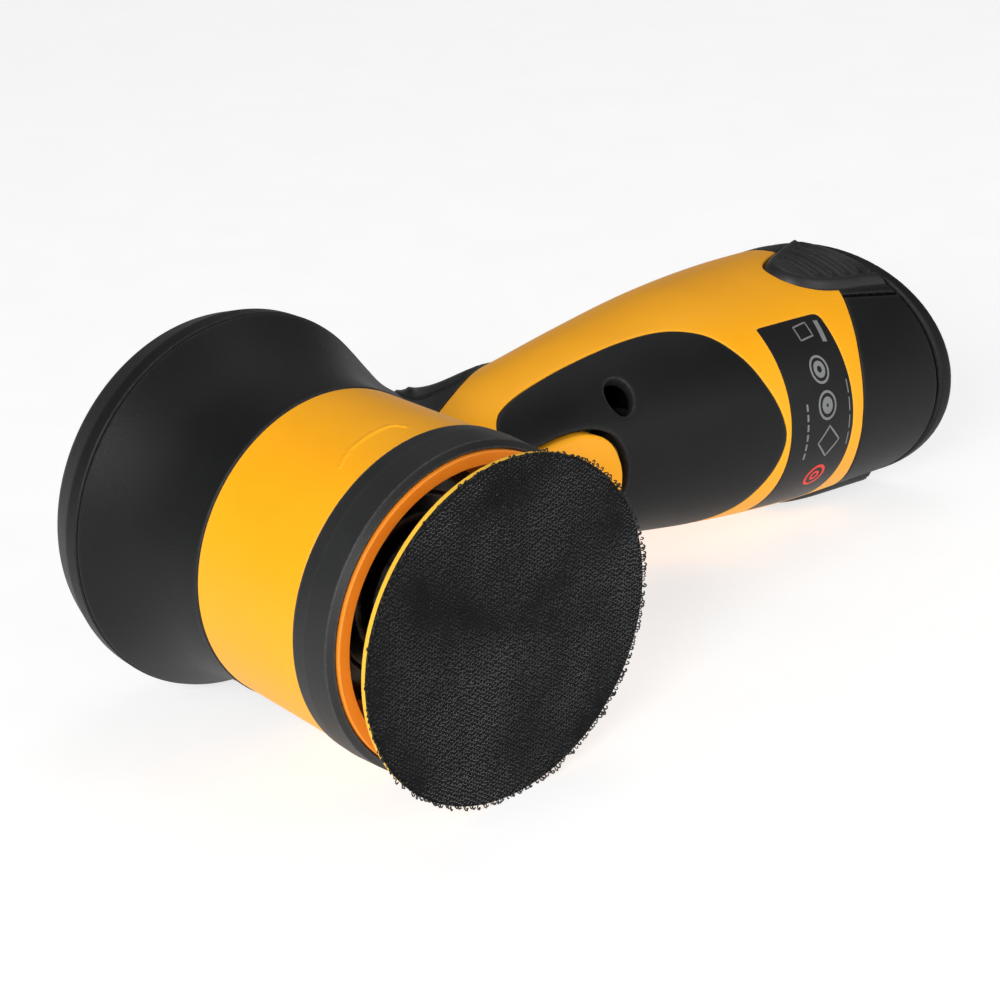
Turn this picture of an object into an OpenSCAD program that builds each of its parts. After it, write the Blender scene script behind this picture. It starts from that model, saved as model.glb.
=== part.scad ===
// Cordless mini rotary polisher with a right-angle head and a stick battery.
// The tool lies on its side: the pad faces -Y, the handle runs along +X.
// The origin is the centre of the pad's hook face.

/* [Pad] */
// Radius of the hook-and-loop pad
pad_r = 38.5; // [36:0.5:41]
// Thickness of the hook disc
hook_t = 2; // [1.5:0.1:2.5]
// Thickness of the foam behind the hook disc
foam_t = 7; // [5:0.5:8]
// Thickness of the rigid backing plate
plate_t = 2.5; // [2:0.1:3]

/* [Head] */
// Distance from the hook face to the front rim of the inner skirt
skirt_y = 13.1; // [12.6:0.1:14]
// Outer radius of the inner skirt
skirt_r = 35.3; // [35:0.1:35.8]
// Distance from the hook face to the front edge of the housing band
band_y = 26.3; // [25:0.1:28]
// Outer radius of the band at its front edge
band_r = 36.3; // [36.1:0.1:36.5]
// Distance from the hook face to the band's rear edge, where the waist starts
waist_y = 60; // [58:0.5:62]
// Radius of the waist
waist_r = 35.5; // [35.3:0.1:35.9]
// Distance from the hook face to the crease under the cap
cap_y = 92.5; // [91:0.5:94]
// Radius of the cap at its crease
cap_r = 44.1; // [43:0.1:45]
// Distance from the hook face to the top of the cap
head_h = 112; // [110:0.5:114]
// Wall thickness of the head's shells
wall = 2.5; // [2.2:0.1:2.8]

/* [Handle] */
// Distance from the hook face to the handle's axis
handle_y = 73.5; // [72.5:0.5:75]
// Handle radius where it leaves the head
neck_r = 14; // [13.5:0.5:14.5]
// Handle radius at the battery
grip_r = 32.4; // [32.2:0.1:32.8]
// Distance from the head's axis to the seam between handle and battery
seam_x = 158; // [157:0.5:160]
// Depth of the soft grip and of the keypad panel in the housing
inlay_t = 1.2; // [1:0.1:1.4]

/* [Trigger] */
// Half the width of the trigger lever
trigger_w = 11.5; // [10.5:0.1:12]
// Distance from the head's axis to the end of the trigger lever
trigger_end = 78; // [76:0.5:78]

/* [Battery] */
// Distance from the head's axis to the front face of the battery stem
stem_x = 97.5; // [97:0.5:98.5]
// Radius of the battery stem
stem_r = 22.5; // [22:0.1:22.8]
// Slant of the tail joint, as X per Y
tail_slant = 0.32; // [0.28:0.01:0.34]
// Distance from the head's axis to the tail joint, on the handle's axis
tail_x = 171.5; // [171:0.5:173]
// Length of the tail cap on the handle's axis
tail_l = 6; // [5:0.5:7]

/* [Gears] */
// Gear module
gear_m = 0.8; // [0.79:0.005:0.81]
// Play taken off each flank
backlash = 0.06; // [0.05:0.01:0.08]

/* [Hidden] */

// Colours
YELLOW = [0.99, 0.70, 0.11];
ORANGE = [0.93, 0.53, 0.15];
BLACK = [0.13, 0.13, 0.14];
SOFT_BLACK = [0.19, 0.19, 0.2];
STEEL = [0.75, 0.76, 0.78];
ALUMINIUM = [0.83, 0.84, 0.86];
COPPER = [0.8, 0.45, 0.24];
BRASS = [0.83, 0.68, 0.34];
BOARD = [0.09, 0.38, 0.22];

// General
eps = 0.01;
big = 400;
fine = 96;
small = 48;

// Pad stack
foam_y = hook_t;
foam_lip = 2.5;
plate_y = foam_y + foam_t;
plate_r = 30;
hub_y = plate_y + plate_t;
hub_r = 8;
nose_y = 18;
stud_r = 4;
stud_l = 16;

// Spindle and carrier
journal_y = 22;
journal_r = 6;
carrier_y = 36;
carrier_t = 4;
carrier_r = 19;
run_fit = 0.05;

// Gear train: the sun drives three planets inside a fixed ring
sun_teeth = 15;
planet_teeth = 18;
planets = 3;
ring_teeth = sun_teeth + 2 * planet_teeth;
pressure = 20;
addendum = 0.9;
dedendum = 1.25;
gear_y = 41.2;
gear_w = 7;
orbit_r = gear_m * (sun_teeth + planet_teeth) / 2;
pin_r = 1.9;
ring_outer_r = 24;

// Gearbox housing
box_nose_y = 20;
box_nose_r = 16;
box_step_y = 32;
box_r = 27;
box_end_y = 50;
bearing_y = 24;
bearing_w = 7;
bearing_r = 13;
box_screw_r = 25.4;

// Motor
motor_plate_t = 3;
shaft_r = 2.5;
shaft_end_y = 98;
motor_bearing_r = 8;
motor_bearing_w = 5;
can_r = 28.5;
stator_r = 27;
stator_y = 59;
stator_h = 20;
rotor_r = 12.5;
magnet_r = 14.6;
air_gap_r = 15.2;
slots = 9;
slot_r = 22;
tooth_w = 4;
coil_t = 1.6;
rear_y = 84;
fan_y = 91;
fan_r = 26;
blades = 11;

// Handle stations
neck_x = 20;
crest_x = 165;
profile_steps = 10;
shell_t = 2.6;

// Housing screws: X and Y of each boss, driven in along -Z
screw_spots = [[83.5, 55], [50, 84], [112, 98], [140, 99.5]];
boss_r = 3.6;
boss_z = 10;
seat_z = 7;
recess_r = 3;
screw_head_r = 2.6;
screw_head_h = 1.8;
shank_r = 1.4;
hole_end_z = 8;

// Label that wraps the underside between the grip and the battery
label_x0 = 128;
label_x1 = 149;
label_top = 52;
label_t = 0.8;

// Keypad: X of each control on the handle's top line
power_x = 62;
power_r = 6;
speed_down_x = 79;
speed_up_x = 91;
speed_r = 4.5;
lens_x = 70.5;
key_proud = 0.6;
button_gap = 0.3;
keypad_y = 86.6;
keypad_t = 1.4;
switch_h = 1.2;

// Trigger
pivot_x = 42;
pivot_y = 62;
pivot_r = 1.5;
pivot_l = 27;
knuckle_r = 3.2;
knuckle_z = 3;
trigger_front = 38;
trigger_mid = 60;
trigger_gap = 0.6;
trigger_room = 2;
magnet_x = 66;
magnet_depth = 1.4;
sensor_magnet_r = 2.5;

// Flare from the waist to the cap
flare_power = 1.6;

// Battery
front_wall = 1.5;
spacer_t = 0.9;
terminals = [-5, 0, 5];

// Latches
latch_front = 147;
latch_back = 168;
latch_foot = 6;
latch_w = 17.5;
latch_z = 25.2;
latch_travel = 2.5;
latch_proud = 0.4;
latch_gap = 0.4;
latch_floor = latch_z - latch_travel - 0.1;
rib_pitch = 3.4;

// ---- Frames and shared shapes ----

// Local Z becomes +Y, along the head's axis
module on_head(y = 0) {
    translate([0, y, 0]) rotate([-90, 0, 0]) children();
}

// Local Z becomes +X, along the handle's axis
module on_handle() {
    translate([0, handle_y, 0]) rotate([0, 90, 0]) children();
}

module head_turn() {
    on_head() rotate_extrude($fn = fine) children();
}

module tube(y, h, outer_r, inner_r) {
    on_head(y) difference() {
        cylinder(h = h, r = outer_r, $fn = fine);
        translate([0, 0, -1]) cylinder(h = h + 2, r = inner_r, $fn = fine);
    }
}

// Outer radius of the handle at a distance from the head's axis
function handle_r(x) = neck_r + (grip_r - neck_r) * sin(90 * (x - neck_x) / (crest_x - neck_x));

// Solid of the handle between two distances, inset from its outer surface
module handle_solid(x0, x1, inset) {
    on_handle() rotate_extrude($fn = fine) polygon(concat(
        [[0, x0]],
        [for (i = [0:profile_steps])
            let (x = x0 + (x1 - x0) * i / profile_steps) [handle_r(x) - inset, x]],
        [[0, x1]]));
}

// Skin of the handle: from inset_a down to inset_b below its outer surface
module handle_skin(x0, x1, inset_a, inset_b) {
    on_handle() rotate_extrude($fn = fine) polygon(concat(
        [for (i = [0:profile_steps])
            let (x = x0 + (x1 - x0) * i / profile_steps) [handle_r(x) - inset_a, x]],
        [for (i = [profile_steps:-1:0])
            let (x = x0 + (x1 - x0) * i / profile_steps) [handle_r(x) - inset_b, x]]));
}

// Seen from the side, along Z: the outline of the soft grip
module grip_outline() {
    grip_top = 63;
    nose_r = 10;
    tail_r = 34;
    hull_x0 = 50;
    hull_x1 = 129.5;
    difference() {
        translate([hull_x0, 0]) square([hull_x1 - hull_x0, grip_top]);
        difference() {
            translate([hull_x0 - 1, grip_top - nose_r]) square([nose_r + 1, nose_r + 1]);
            translate([hull_x0 + nose_r, grip_top - nose_r]) circle(r = nose_r, $fn = fine);
        }
        difference() {
            translate([hull_x1 - tail_r, grip_top - tail_r]) square([tail_r + 1, tail_r + 1]);
            translate([hull_x1 - tail_r, grip_top - tail_r]) circle(r = tail_r, $fn = fine);
        }
    }
}

module grip_region() {
    translate([0, 0, -big / 2]) linear_extrude(height = big) grip_outline();
}

module label_region() {
    translate([label_x0, 0, -big / 2]) cube([label_x1 - label_x0, label_top, big]);
}

// Seen from above, along Y: the outline of the keypad panel
module panel_region() {
    points = [[37.5, 19], [60, 20], [76, 18], [92, 14], [101, 8]];
    translate([0, handle_y, 0]) rotate([-90, 0, 0]) linear_extrude(height = 60)
        polygon(concat(points, [for (i = [len(points) - 1:-1:0]) [points[i][0], -points[i][1]]]));
}

// Window in the housing for the trigger lever, seen along Y
module trigger_outline(grow) {
    half = trigger_w + grow;
    translate([trigger_front - grow, -half]) square([trigger_end - half - trigger_front + 2 * grow, 2 * half]);
    translate([trigger_end - trigger_w, 0]) circle(r = half, $fn = fine);
}

module below_axis() {
    translate([0, handle_y - 8, 0]) rotate([90, 0, 0]) linear_extrude(height = 60) children();
}

// Clear room for the lever, with space behind its end for the swing
module trigger_window() {
    below_axis() {
        trigger_outline(trigger_gap);
        translate([trigger_room, 0]) trigger_outline(trigger_gap);
    }
}

// Shape of a latch seen along Z: a rounded nose that widens to the battery
module latch_outline(grow) {
    nose = 11;
    hull() {
        translate([latch_front + nose, handle_y]) circle(r = nose + grow, $fn = 32);
        translate([latch_back - latch_foot, handle_y - latch_w - grow])
            square([latch_foot + grow, 2 * (latch_w + grow)]);
    }
}

// Everything behind the slanted tail joint, moved along X by shift
module behind_tail(shift) {
    translate([tail_x + shift, handle_y, 0]) rotate([0, 0, atan(tail_slant)])
        translate([0, -big / 2, -big / 2]) cube([big, big, big]);
}

module left_half() {
    translate([-big / 2, -big / 2, 0]) cube(big);
}

module right_half() {
    translate([-big / 2, -big / 2, -big]) cube(big);
}

// ---- Gears ----

// Polar angle swept by an involute from its base circle to radius r
function sweep(base_r, r) =
    let (t = sqrt(max(0, pow(r / base_r, 2) - 1))) t * 180 / PI - atan(t);

// Half angle of a tooth at radius r; extra is added to each flank, in millimetres
function half_tooth(teeth, r, extra) =
    let (pitch_r = gear_m * teeth / 2, base_r = pitch_r * cos(pressure))
    90 / teeth + extra / pitch_r * 180 / PI + sweep(base_r, pitch_r) - sweep(base_r, max(r, base_r));

module gear_outline(teeth, tip, root, extra) {
    pitch_r = gear_m * teeth / 2;
    tip_r = pitch_r + tip * gear_m;
    root_r = pitch_r - root * gear_m;
    flank = 4;
    radii = [for (i = [0:flank]) root_r + (tip_r - root_r) * i / flank];
    polygon([for (k = [0:teeth - 1], i = [0:2 * flank + 1])
        let (rising = i <= flank,
             r = rising ? radii[i] : radii[2 * flank + 1 - i],
             a = 360 * k / teeth + (rising ? -1 : 1) * half_tooth(teeth, r, extra))
        [r * cos(a), r * sin(a)]]);
}

module planet_gear(index) {
    // A tooth space faces the sun, so that the planet is in mesh at rest
    color(STEEL) on_head(gear_y) rotate([0, 0, 360 * index / planets]) translate([orbit_r, 0, 0])
        linear_extrude(height = gear_w) difference() {
            rotate(180 / planet_teeth)
                gear_outline(planet_teeth, addendum, dedendum, -backlash);
            circle(r = pin_r + run_fit, $fn = small);
        }
}

module planet_gear_a() { planet_gear(0); }
module planet_gear_b() { planet_gear(1); }
module planet_gear_c() { planet_gear(2); }

module sun_gear() {
    color(STEEL) on_head(gear_y - 0.2) linear_extrude(height = gear_w + 0.8) difference() {
        gear_outline(sun_teeth, addendum, dedendum, -backlash);
        circle(r = shaft_r, $fn = small);
    }
}

module ring_gear() {
    color(STEEL) on_head(gear_y - 0.2) linear_extrude(height = gear_w + 0.5) difference() {
        circle(r = ring_outer_r, $fn = fine);
        rotate(180 / ring_teeth) gear_outline(ring_teeth, dedendum, addendum, backlash);
    }
}

// ---- Pad and spindle ----

module hook_disc() {
    color(BLACK) on_head() cylinder(h = hook_t, r = pad_r, $fn = fine);
}

module pad_foam() {
    foam_back_r = plate_r + 1;
    color(YELLOW) head_turn() polygon([
        [0, foam_y], [pad_r - 0.2, foam_y], [pad_r - 0.2, foam_y + foam_lip],
        [foam_back_r, plate_y], [0, plate_y]]);
}

module backing_plate() {
    color(SOFT_BLACK) difference() {
        union() {
            on_head(plate_y) cylinder(h = plate_t, r = plate_r, $fn = fine);
            on_head(hub_y) cylinder(h = nose_y - hub_y, r = hub_r, $fn = small);
            for (i = [0:5])
                rotate([0, 60 * i, 0]) translate([hub_r - 1, hub_y, -1]) cube([14, 2, 2]);
        }
        on_head(hub_y) cylinder(h = 20, r = stud_r, $fn = small);
    }
}

module pad_stud() {
    color(STEEL) on_head(hub_y) cylinder(h = stud_l, r = stud_r, $fn = small);
}

module output_spindle() {
    nose_end = hub_y + stud_l;
    color(STEEL) difference() {
        union() {
            on_head(nose_y) cylinder(h = journal_y - nose_y, r = hub_r, $fn = small);
            on_head(journal_y - eps) cylinder(h = carrier_y - journal_y + 2 * eps, r = journal_r, $fn = small);
            on_head(carrier_y) cylinder(h = carrier_t, r = carrier_r, $fn = fine);
        }
        on_head(nose_y - 1) cylinder(h = nose_end - nose_y + 1, r = stud_r, $fn = small);
        pin_places() translate([0, 0, -1]) cylinder(h = carrier_t + 2, r = pin_r, $fn = small);
    }
}

module pin_places() {
    on_head(carrier_y) for (i = [0:planets - 1])
        rotate([0, 0, 360 * i / planets]) translate([orbit_r, 0, 0]) children();
}

module planet_pins() {
    pin_l = gear_y + gear_w - carrier_y + 0.4;
    color(STEEL) pin_places() cylinder(h = pin_l, r = pin_r, $fn = small);
}

// ---- Gearbox ----

module gearbox_housing() {
    color(ALUMINIUM) difference() {
        head_turn() polygon([
            [bearing_r - 3, box_nose_y], [box_nose_r - 1.5, box_nose_y], [box_nose_r, box_nose_y + 1.5],
            [box_nose_r, box_step_y], [box_r, box_step_y + 2], [box_r, box_end_y],
            [ring_outer_r, box_end_y], [ring_outer_r, gear_y - 0.2], [carrier_r + 1.5, gear_y - 0.2],
            [carrier_r + 1.5, carrier_y - 1], [bearing_r - 2, carrier_y - 1], [bearing_r - 2, bearing_y + bearing_w],
            [bearing_r, bearing_y + bearing_w], [bearing_r, bearing_y], [bearing_r - 3, bearing_y]]);
        screw_ring(box_end_y - 8) cylinder(h = 12, r = 1, $fn = small);
    }
}

module screw_ring(y) {
    on_head(y) for (i = [0:3]) rotate([0, 0, 45 + 90 * i]) translate([box_screw_r, 0, 0]) children();
}

module gearbox_screws() {
    head_z = 8 + motor_plate_t;
    color(STEEL) screw_ring(box_end_y - 8) {
        cylinder(h = head_z + eps, r = 1, $fn = small);
        translate([0, 0, head_z]) cylinder(h = 1.6, r = 1.5, $fn = small);
    }
}

module spindle_bearing() {
    color(STEEL) tube(bearing_y, bearing_w, bearing_r, journal_r + run_fit);
}

module spindle_seal() {
    seal_t = 1.6;
    color(BLACK) tube(box_nose_y + 0.2, seal_t, bearing_r - 3, hub_r + 0.1);
}

// ---- Motor ----

module motor_plate() {
    boss_h = 6;
    color(ALUMINIUM) difference() {
        union() {
            on_head(box_end_y) cylinder(h = motor_plate_t, r = box_r, $fn = fine);
            on_head(box_end_y) cylinder(h = boss_h, r = motor_bearing_r + 2, $fn = small);
        }
        on_head(box_end_y - 1) cylinder(h = boss_h + 2, r = motor_bearing_r, $fn = fine);
        screw_ring(box_end_y - 1) cylinder(h = motor_plate_t + 2, r = 1, $fn = small);
    }
}

module motor_bearings() {
    color(STEEL) {
        tube(box_end_y + 0.5, motor_bearing_w, motor_bearing_r, shaft_r + run_fit);
        tube(rear_y, motor_bearing_w, motor_bearing_r, shaft_r + run_fit);
    }
}

module motor_can() {
    can_y = box_end_y + motor_plate_t;
    color(SOFT_BLACK) tube(can_y, rear_y - can_y, can_r, stator_r);
}

module slot_places() {
    on_head(stator_y) for (i = [0:slots - 1]) rotate([0, 0, 360 * i / slots]) children();
}

module stator_core() {
    color(STEEL) difference() {
        union() {
            tube(stator_y, stator_h, stator_r, slot_r);
            slot_places() translate([air_gap_r - 1, -tooth_w / 2, 0])
                cube([slot_r - air_gap_r + 2, tooth_w, stator_h]);
        }
        on_head(stator_y - 1) cylinder(h = stator_h + 2, r = air_gap_r, $fn = fine);
    }
}

module stator_windings() {
    coil_x = 17;
    coil_l = 3.8;
    color(COPPER) slot_places() translate([coil_x, 0, 0]) difference() {
        translate([0, -tooth_w / 2 - coil_t, -coil_t])
            cube([coil_l, tooth_w + 2 * coil_t, stator_h + 2 * coil_t]);
        translate([-1, -tooth_w / 2, 0]) cube([coil_l + 2, tooth_w, stator_h]);
    }
}

module rotor_core() {
    color(STEEL) tube(stator_y, stator_h, rotor_r, shaft_r);
}

module rotor_magnets() {
    color(SOFT_BLACK) tube(stator_y, stator_h, magnet_r, rotor_r);
}

module motor_shaft() {
    color(STEEL) on_head(gear_y - 0.2) cylinder(h = shaft_end_y - gear_y + 0.2, r = shaft_r, $fn = small);
}

module rear_bracket() {
    color(ALUMINIUM) difference() {
        union() {
            on_head(rear_y) cylinder(h = 2.5, r = can_r, $fn = fine);
            on_head(rear_y) cylinder(h = motor_bearing_w, r = motor_bearing_r + 2, $fn = small);
        }
        on_head(rear_y - 1) cylinder(h = motor_bearing_w + 2, r = motor_bearing_r, $fn = fine);
        for (i = [0:5]) rotate([0, 60 * i, 0])
            translate([19, rear_y + 4, 0]) rotate([90, 0, 0]) cylinder(h = 6, r = 4, $fn = small);
    }
}

module cooling_fan() {
    fan_disc = 1.5;
    blade_h = 5;
    color(BLACK) difference() {
        union() {
            on_head(fan_y) cylinder(h = fan_disc, r = fan_r, $fn = fine);
            on_head(fan_y) cylinder(h = fan_disc + blade_h, r = 6, $fn = small);
            for (i = [0:blades - 1]) rotate([0, 360 * i / blades, 0])
                translate([9, fan_y + fan_disc - eps, -0.6]) rotate([0, 20, 0]) cube([15, blade_h, 1.2]);
        }
        on_head(fan_y - 1) cylinder(h = 12, r = shaft_r, $fn = small);
    }
}

module motor_controller() {
    board_y = 101;
    color(BOARD) on_head(board_y) cylinder(h = 1.6, r = 30, $fn = fine);
    color(BLACK) for (i = [0:5]) rotate([0, 60 * i, 0])
        translate([14, board_y - 1.6, -3]) cube([8, 1.6, 6]);
    color(SOFT_BLACK) on_head(board_y + 1.6) cylinder(h = 4, r = 5, $fn = small);
}

// ---- Head shells ----

module inner_skirt() {
    inner_r = 32.4;
    deep_r = 31;
    collar_r = band_r - wall - 0.5;
    floor_y = 34;
    color(ORANGE) head_turn() polygon([
        [inner_r, skirt_y], [skirt_r, skirt_y], [skirt_r, band_y], [collar_r, band_y],
        [collar_r, floor_y + 2], [box_r, floor_y + 2], [box_r, floor_y], [deep_r, floor_y],
        [deep_r, band_y], [inner_r, skirt_y + 4]]);
}

module bumper_ring() {
    ridge_y = 14.3;
    ridge_r = 36.6;
    bulge = 37.4;
    back_r = 37.1;
    color(SOFT_BLACK) head_turn() polygon([
        [skirt_r, skirt_y + 0.8], [ridge_r - 0.6, skirt_y + 0.8], [ridge_r, ridge_y + 0.4],
        [bulge, ridge_y + 3], [bulge, band_y - 3], [back_r, band_y], [skirt_r, band_y]]);
}

// Radius of the flare: a cosine rise, so that it leaves the band smoothly
function flare_r(y) =
    waist_r + (cap_r - waist_r) * pow(1 - cos(90 * (y - waist_y) / (cap_y - waist_y)), flare_power);

module waist_outline(inset) {
    steps = 8;
    polygon(concat(
        [[0, waist_y]],
        [for (i = [0:steps])
            let (y = waist_y + (cap_y - waist_y) * i / steps) [flare_r(y) - inset, y]],
        [[0, cap_y]]));
}

// Solid inside of the head shells, kept clear of the handle
module head_cavity() {
    on_head(band_y - 1) cylinder(h = waist_y - band_y + 1 + eps, r = band_r - wall - 0.5, $fn = fine);
    on_head(waist_y) cylinder(h = cap_y - waist_y, r = waist_r - wall, $fn = fine);
}

module upper_shell() {
    color(SOFT_BLACK) difference() {
        head_turn() waist_outline(0);
        on_head() rotate_extrude($fn = fine) waist_outline(wall);
        on_head(cap_y - 1) cylinder(h = 2, r = cap_r - wall, $fn = fine);
        on_head(waist_y - 1) cylinder(h = 2, r = waist_r - wall, $fn = fine);
        handle_solid(15, 60, 0);
    }
}

// Rounded cap: a cylinder wall that turns into a shallow dome
module cap_outline(inset) {
    edge_y = 99;
    round_r = 9;
    lean = 0.6;
    side_r = cap_r - lean;
    polygon(concat(
        [[0, cap_y], [cap_r - inset, cap_y]],
        [for (i = [0:6])
            [side_r - round_r + (round_r - inset) * cos(15 * i),
             edge_y + (round_r - inset) * sin(15 * i)]],
        [[side_r - 2 * round_r, head_h - 2.5 - inset], [10, head_h - inset], [0, head_h - inset]]));
}

module top_cap() {
    color(BLACK) difference() {
        head_turn() cap_outline(0);
        on_head() rotate_extrude($fn = fine) cap_outline(wall);
        on_head(cap_y - 1) cylinder(h = 2, r = cap_r - wall, $fn = fine);
    }
}

// ---- Handle shells ----

module housing_body() {
    difference() {
        union() {
            head_turn() polygon([[0, band_y], [band_r, band_y], [waist_r, waist_y], [0, waist_y]]);
            handle_solid(15, seam_x, 0);
        }
        head_cavity();
        handle_solid(14, seam_x + 1, shell_t);
        intersection() {
            handle_skin(40, seam_x, -1, inlay_t);
            grip_region();
        }
        intersection() {
            handle_skin(100, seam_x, -1, label_t);
            label_region();
        }
        intersection() {
            handle_skin(32, 110, -1, inlay_t);
            panel_region();
        }
        keypad_holes();
        trigger_window();
        translate([pivot_x, pivot_y, -pivot_l / 2]) cylinder(h = pivot_l, r = pivot_r, $fn = small);
        latch_window();
        screw_holes();
    }
}

module screw_bosses() {
    for (p = screw_spots)
        translate([p[0], p[1], -boss_z]) cylinder(h = 2 * boss_z, r = boss_r, $fn = small);
}

// Recess down to each screw's seat, and the blind hole below it
module screw_holes() {
    for (p = screw_spots) {
        translate([p[0], p[1], seat_z]) cylinder(h = big, r = recess_r, $fn = small);
        translate([p[0], p[1], -hole_end_z]) cylinder(h = big, r = shank_r, $fn = small);
    }
}

module housing_with_bosses() {
    housing_body();
    difference() {
        intersection() {
            screw_bosses();
            handle_solid(14, seam_x, shell_t / 2);
        }
        intersection() {
            handle_skin(40, seam_x, -1, inlay_t);
            grip_region();
        }
        trigger_window();
        battery_room();
        screw_holes();
    }
}

// Clear room inside the handle for the battery's stem
module battery_room() {
    room_gap = 0.3;
    on_handle() translate([0, 0, stem_x - 4]) cylinder(h = 90, r = stem_r + room_gap, $fn = fine);
}

module left_housing() {
    color(YELLOW) intersection() {
        housing_with_bosses();
        left_half();
    }
}

module right_housing() {
    color(YELLOW) intersection() {
        housing_with_bosses();
        right_half();
    }
}

module housing_screws() {
    shank_end_z = hole_end_z - 0.5;
    color(STEEL) for (p = screw_spots) translate([p[0], p[1], 0]) {
        translate([0, 0, -shank_end_z]) cylinder(h = shank_end_z + seat_z + eps, r = shank_r, $fn = small);
        translate([0, 0, seat_z]) cylinder(h = screw_head_h, r = screw_head_r, $fn = small);
    }
}

module grip_body() {
    difference() {
        intersection() {
            handle_skin(40, seam_x, 0, inlay_t);
            grip_region();
        }
        trigger_window();
        screw_holes();
    }
}

module left_grip() {
    color(SOFT_BLACK) intersection() {
        grip_body();
        left_half();
    }
}

module right_grip() {
    color(SOFT_BLACK) intersection() {
        grip_body();
        right_half();
    }
}

module label_plate() {
    color(BLACK) intersection() {
        handle_skin(100, seam_x, 0, label_t);
        label_region();
    }
}

// ---- Keypad ----

function top_y(x) = handle_y + handle_r(x);

module keypad_holes() {
    on_key(power_x) cylinder(h = 20, r = power_r + button_gap, $fn = small);
    on_key(speed_up_x) cylinder(h = 20, r = speed_r + button_gap, $fn = small);
    on_key(speed_down_x) cylinder(h = 20, r = speed_r + button_gap, $fn = small);
    lens_shape(20, -10);
}

module on_key(x) {
    translate([x, top_y(x) - 10, 0]) rotate([-90, 0, 0]) children();
}

module lens_shape(h, drop) {
    translate([lens_x, top_y(lens_x) + drop, 0]) rotate([-90, 0, 0]) linear_extrude(height = h) {
        translate([-1.2, -5]) square([2.4, 10]);
        for (s = [-5, 5]) translate([0, s]) circle(r = 1.2, $fn = small);
    }
}

module keypad_panel() {
    color(SOFT_BLACK) difference() {
        intersection() {
            handle_skin(32, 110, 0, inlay_t);
            panel_region();
        }
        keypad_holes();
        head_turn() waist_outline(0);
    }
}

// A key stands proud of the panel and reaches down to just above its switch
module key(x, r) {
    foot_y = keypad_y + keypad_t + switch_h + 1;
    color(SOFT_BLACK) translate([x, foot_y, 0]) rotate([-90, 0, 0])
        cylinder(h = top_y(x) + key_proud - foot_y, r = r, $fn = small);
}

module power_button() { key(power_x, power_r); }
module speed_up_button() { key(speed_up_x, speed_r); }
module speed_down_button() { key(speed_down_x, speed_r); }

module status_lens() {
    color([0.9, 0.92, 0.95]) lens_shape(3, -3);
}

module keypad_board() {
    color(BOARD) translate([56, keypad_y, -7]) cube([39, keypad_t, 14]);
    color(BLACK) for (x = [power_x, speed_down_x, speed_up_x])
        translate([x - 2.5, keypad_y + keypad_t - eps, -2.5]) cube([5, switch_h, 5]);
}

// ---- Trigger ----

module trigger() {
    lip = 2.6;
    depth = 3.4;
    knuckle_w = 3;
    color(YELLOW) difference() {
        union() {
            intersection() {
                on_handle() rotate_extrude($fn = fine) polygon([
                    [handle_r(trigger_front) + 0.6, trigger_front],
                    [handle_r(trigger_mid) + 0.9, trigger_mid],
                    [handle_r(trigger_end) + lip, trigger_end],
                    [handle_r(trigger_end) - 1, trigger_end],
                    [handle_r(trigger_mid) - depth, trigger_mid],
                    [handle_r(trigger_front) - depth, trigger_front]]);
                below_axis() trigger_outline(0);
            }
            for (z = [knuckle_z, -knuckle_z - knuckle_w]) {
                translate([pivot_x, pivot_y, z]) cylinder(h = knuckle_w, r = knuckle_r, $fn = small);
                translate([pivot_x - 2, pivot_y - 5, z]) cube([5, 5, knuckle_w]);
            }
        }
        translate([pivot_x, pivot_y, -20]) cylinder(h = 40, r = pivot_r + run_fit, $fn = small);
        magnet_place() cylinder(h = 10, r = sensor_magnet_r, $fn = small);
    }
}

module trigger_pin() {
    color(STEEL) translate([pivot_x, pivot_y, -pivot_l / 2]) cylinder(h = pivot_l, r = pivot_r, $fn = small);
}

module trigger_spring() {
    wire = 0.5;
    coil_r = pivot_r + 0.3 + wire;
    leg_l = 10;
    color(STEEL) {
        for (i = [-2:2]) translate([pivot_x, pivot_y, i * 1.8 * wire])
            rotate_extrude($fn = small) translate([coil_r, 0]) circle(r = wire, $fn = 24);
        translate([pivot_x, pivot_y + coil_r, -3.6 * wire]) rotate([0, 90, 0])
            cylinder(h = leg_l, r = wire, $fn = 24);
    }
}

// Pocket for the magnet in the back of the lever
module magnet_place() {
    translate([magnet_x, handle_y - handle_r(magnet_x) + magnet_depth, 0]) rotate([-90, 0, 0]) children();
}

module trigger_magnet() {
    color(STEEL) magnet_place() cylinder(h = 3, r = sensor_magnet_r, $fn = small);
}

module trigger_board() {
    board_t = 1.4;
    board_y = 64.5;
    sensor = 4;
    color(BOARD) translate([54, board_y, -8]) cube([30, board_t, 16]);
    color(BLACK) translate([magnet_x - sensor / 2, board_y - 1, -sensor / 2]) cube([sensor, 1, sensor]);
}

module terminal_block() {
    block_l = 9;
    block_x = stem_x - block_l - 3;
    blade_l = 4.2;
    color(BLACK) translate([block_x, handle_y - 7, -8]) cube([block_l, 16, 16]);
    color(BRASS) for (s = terminals)
        translate([block_x + block_l - eps, handle_y - 3, s - 0.4]) cube([blade_l, 6, 0.8]);
}

// ---- Battery ----

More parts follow.
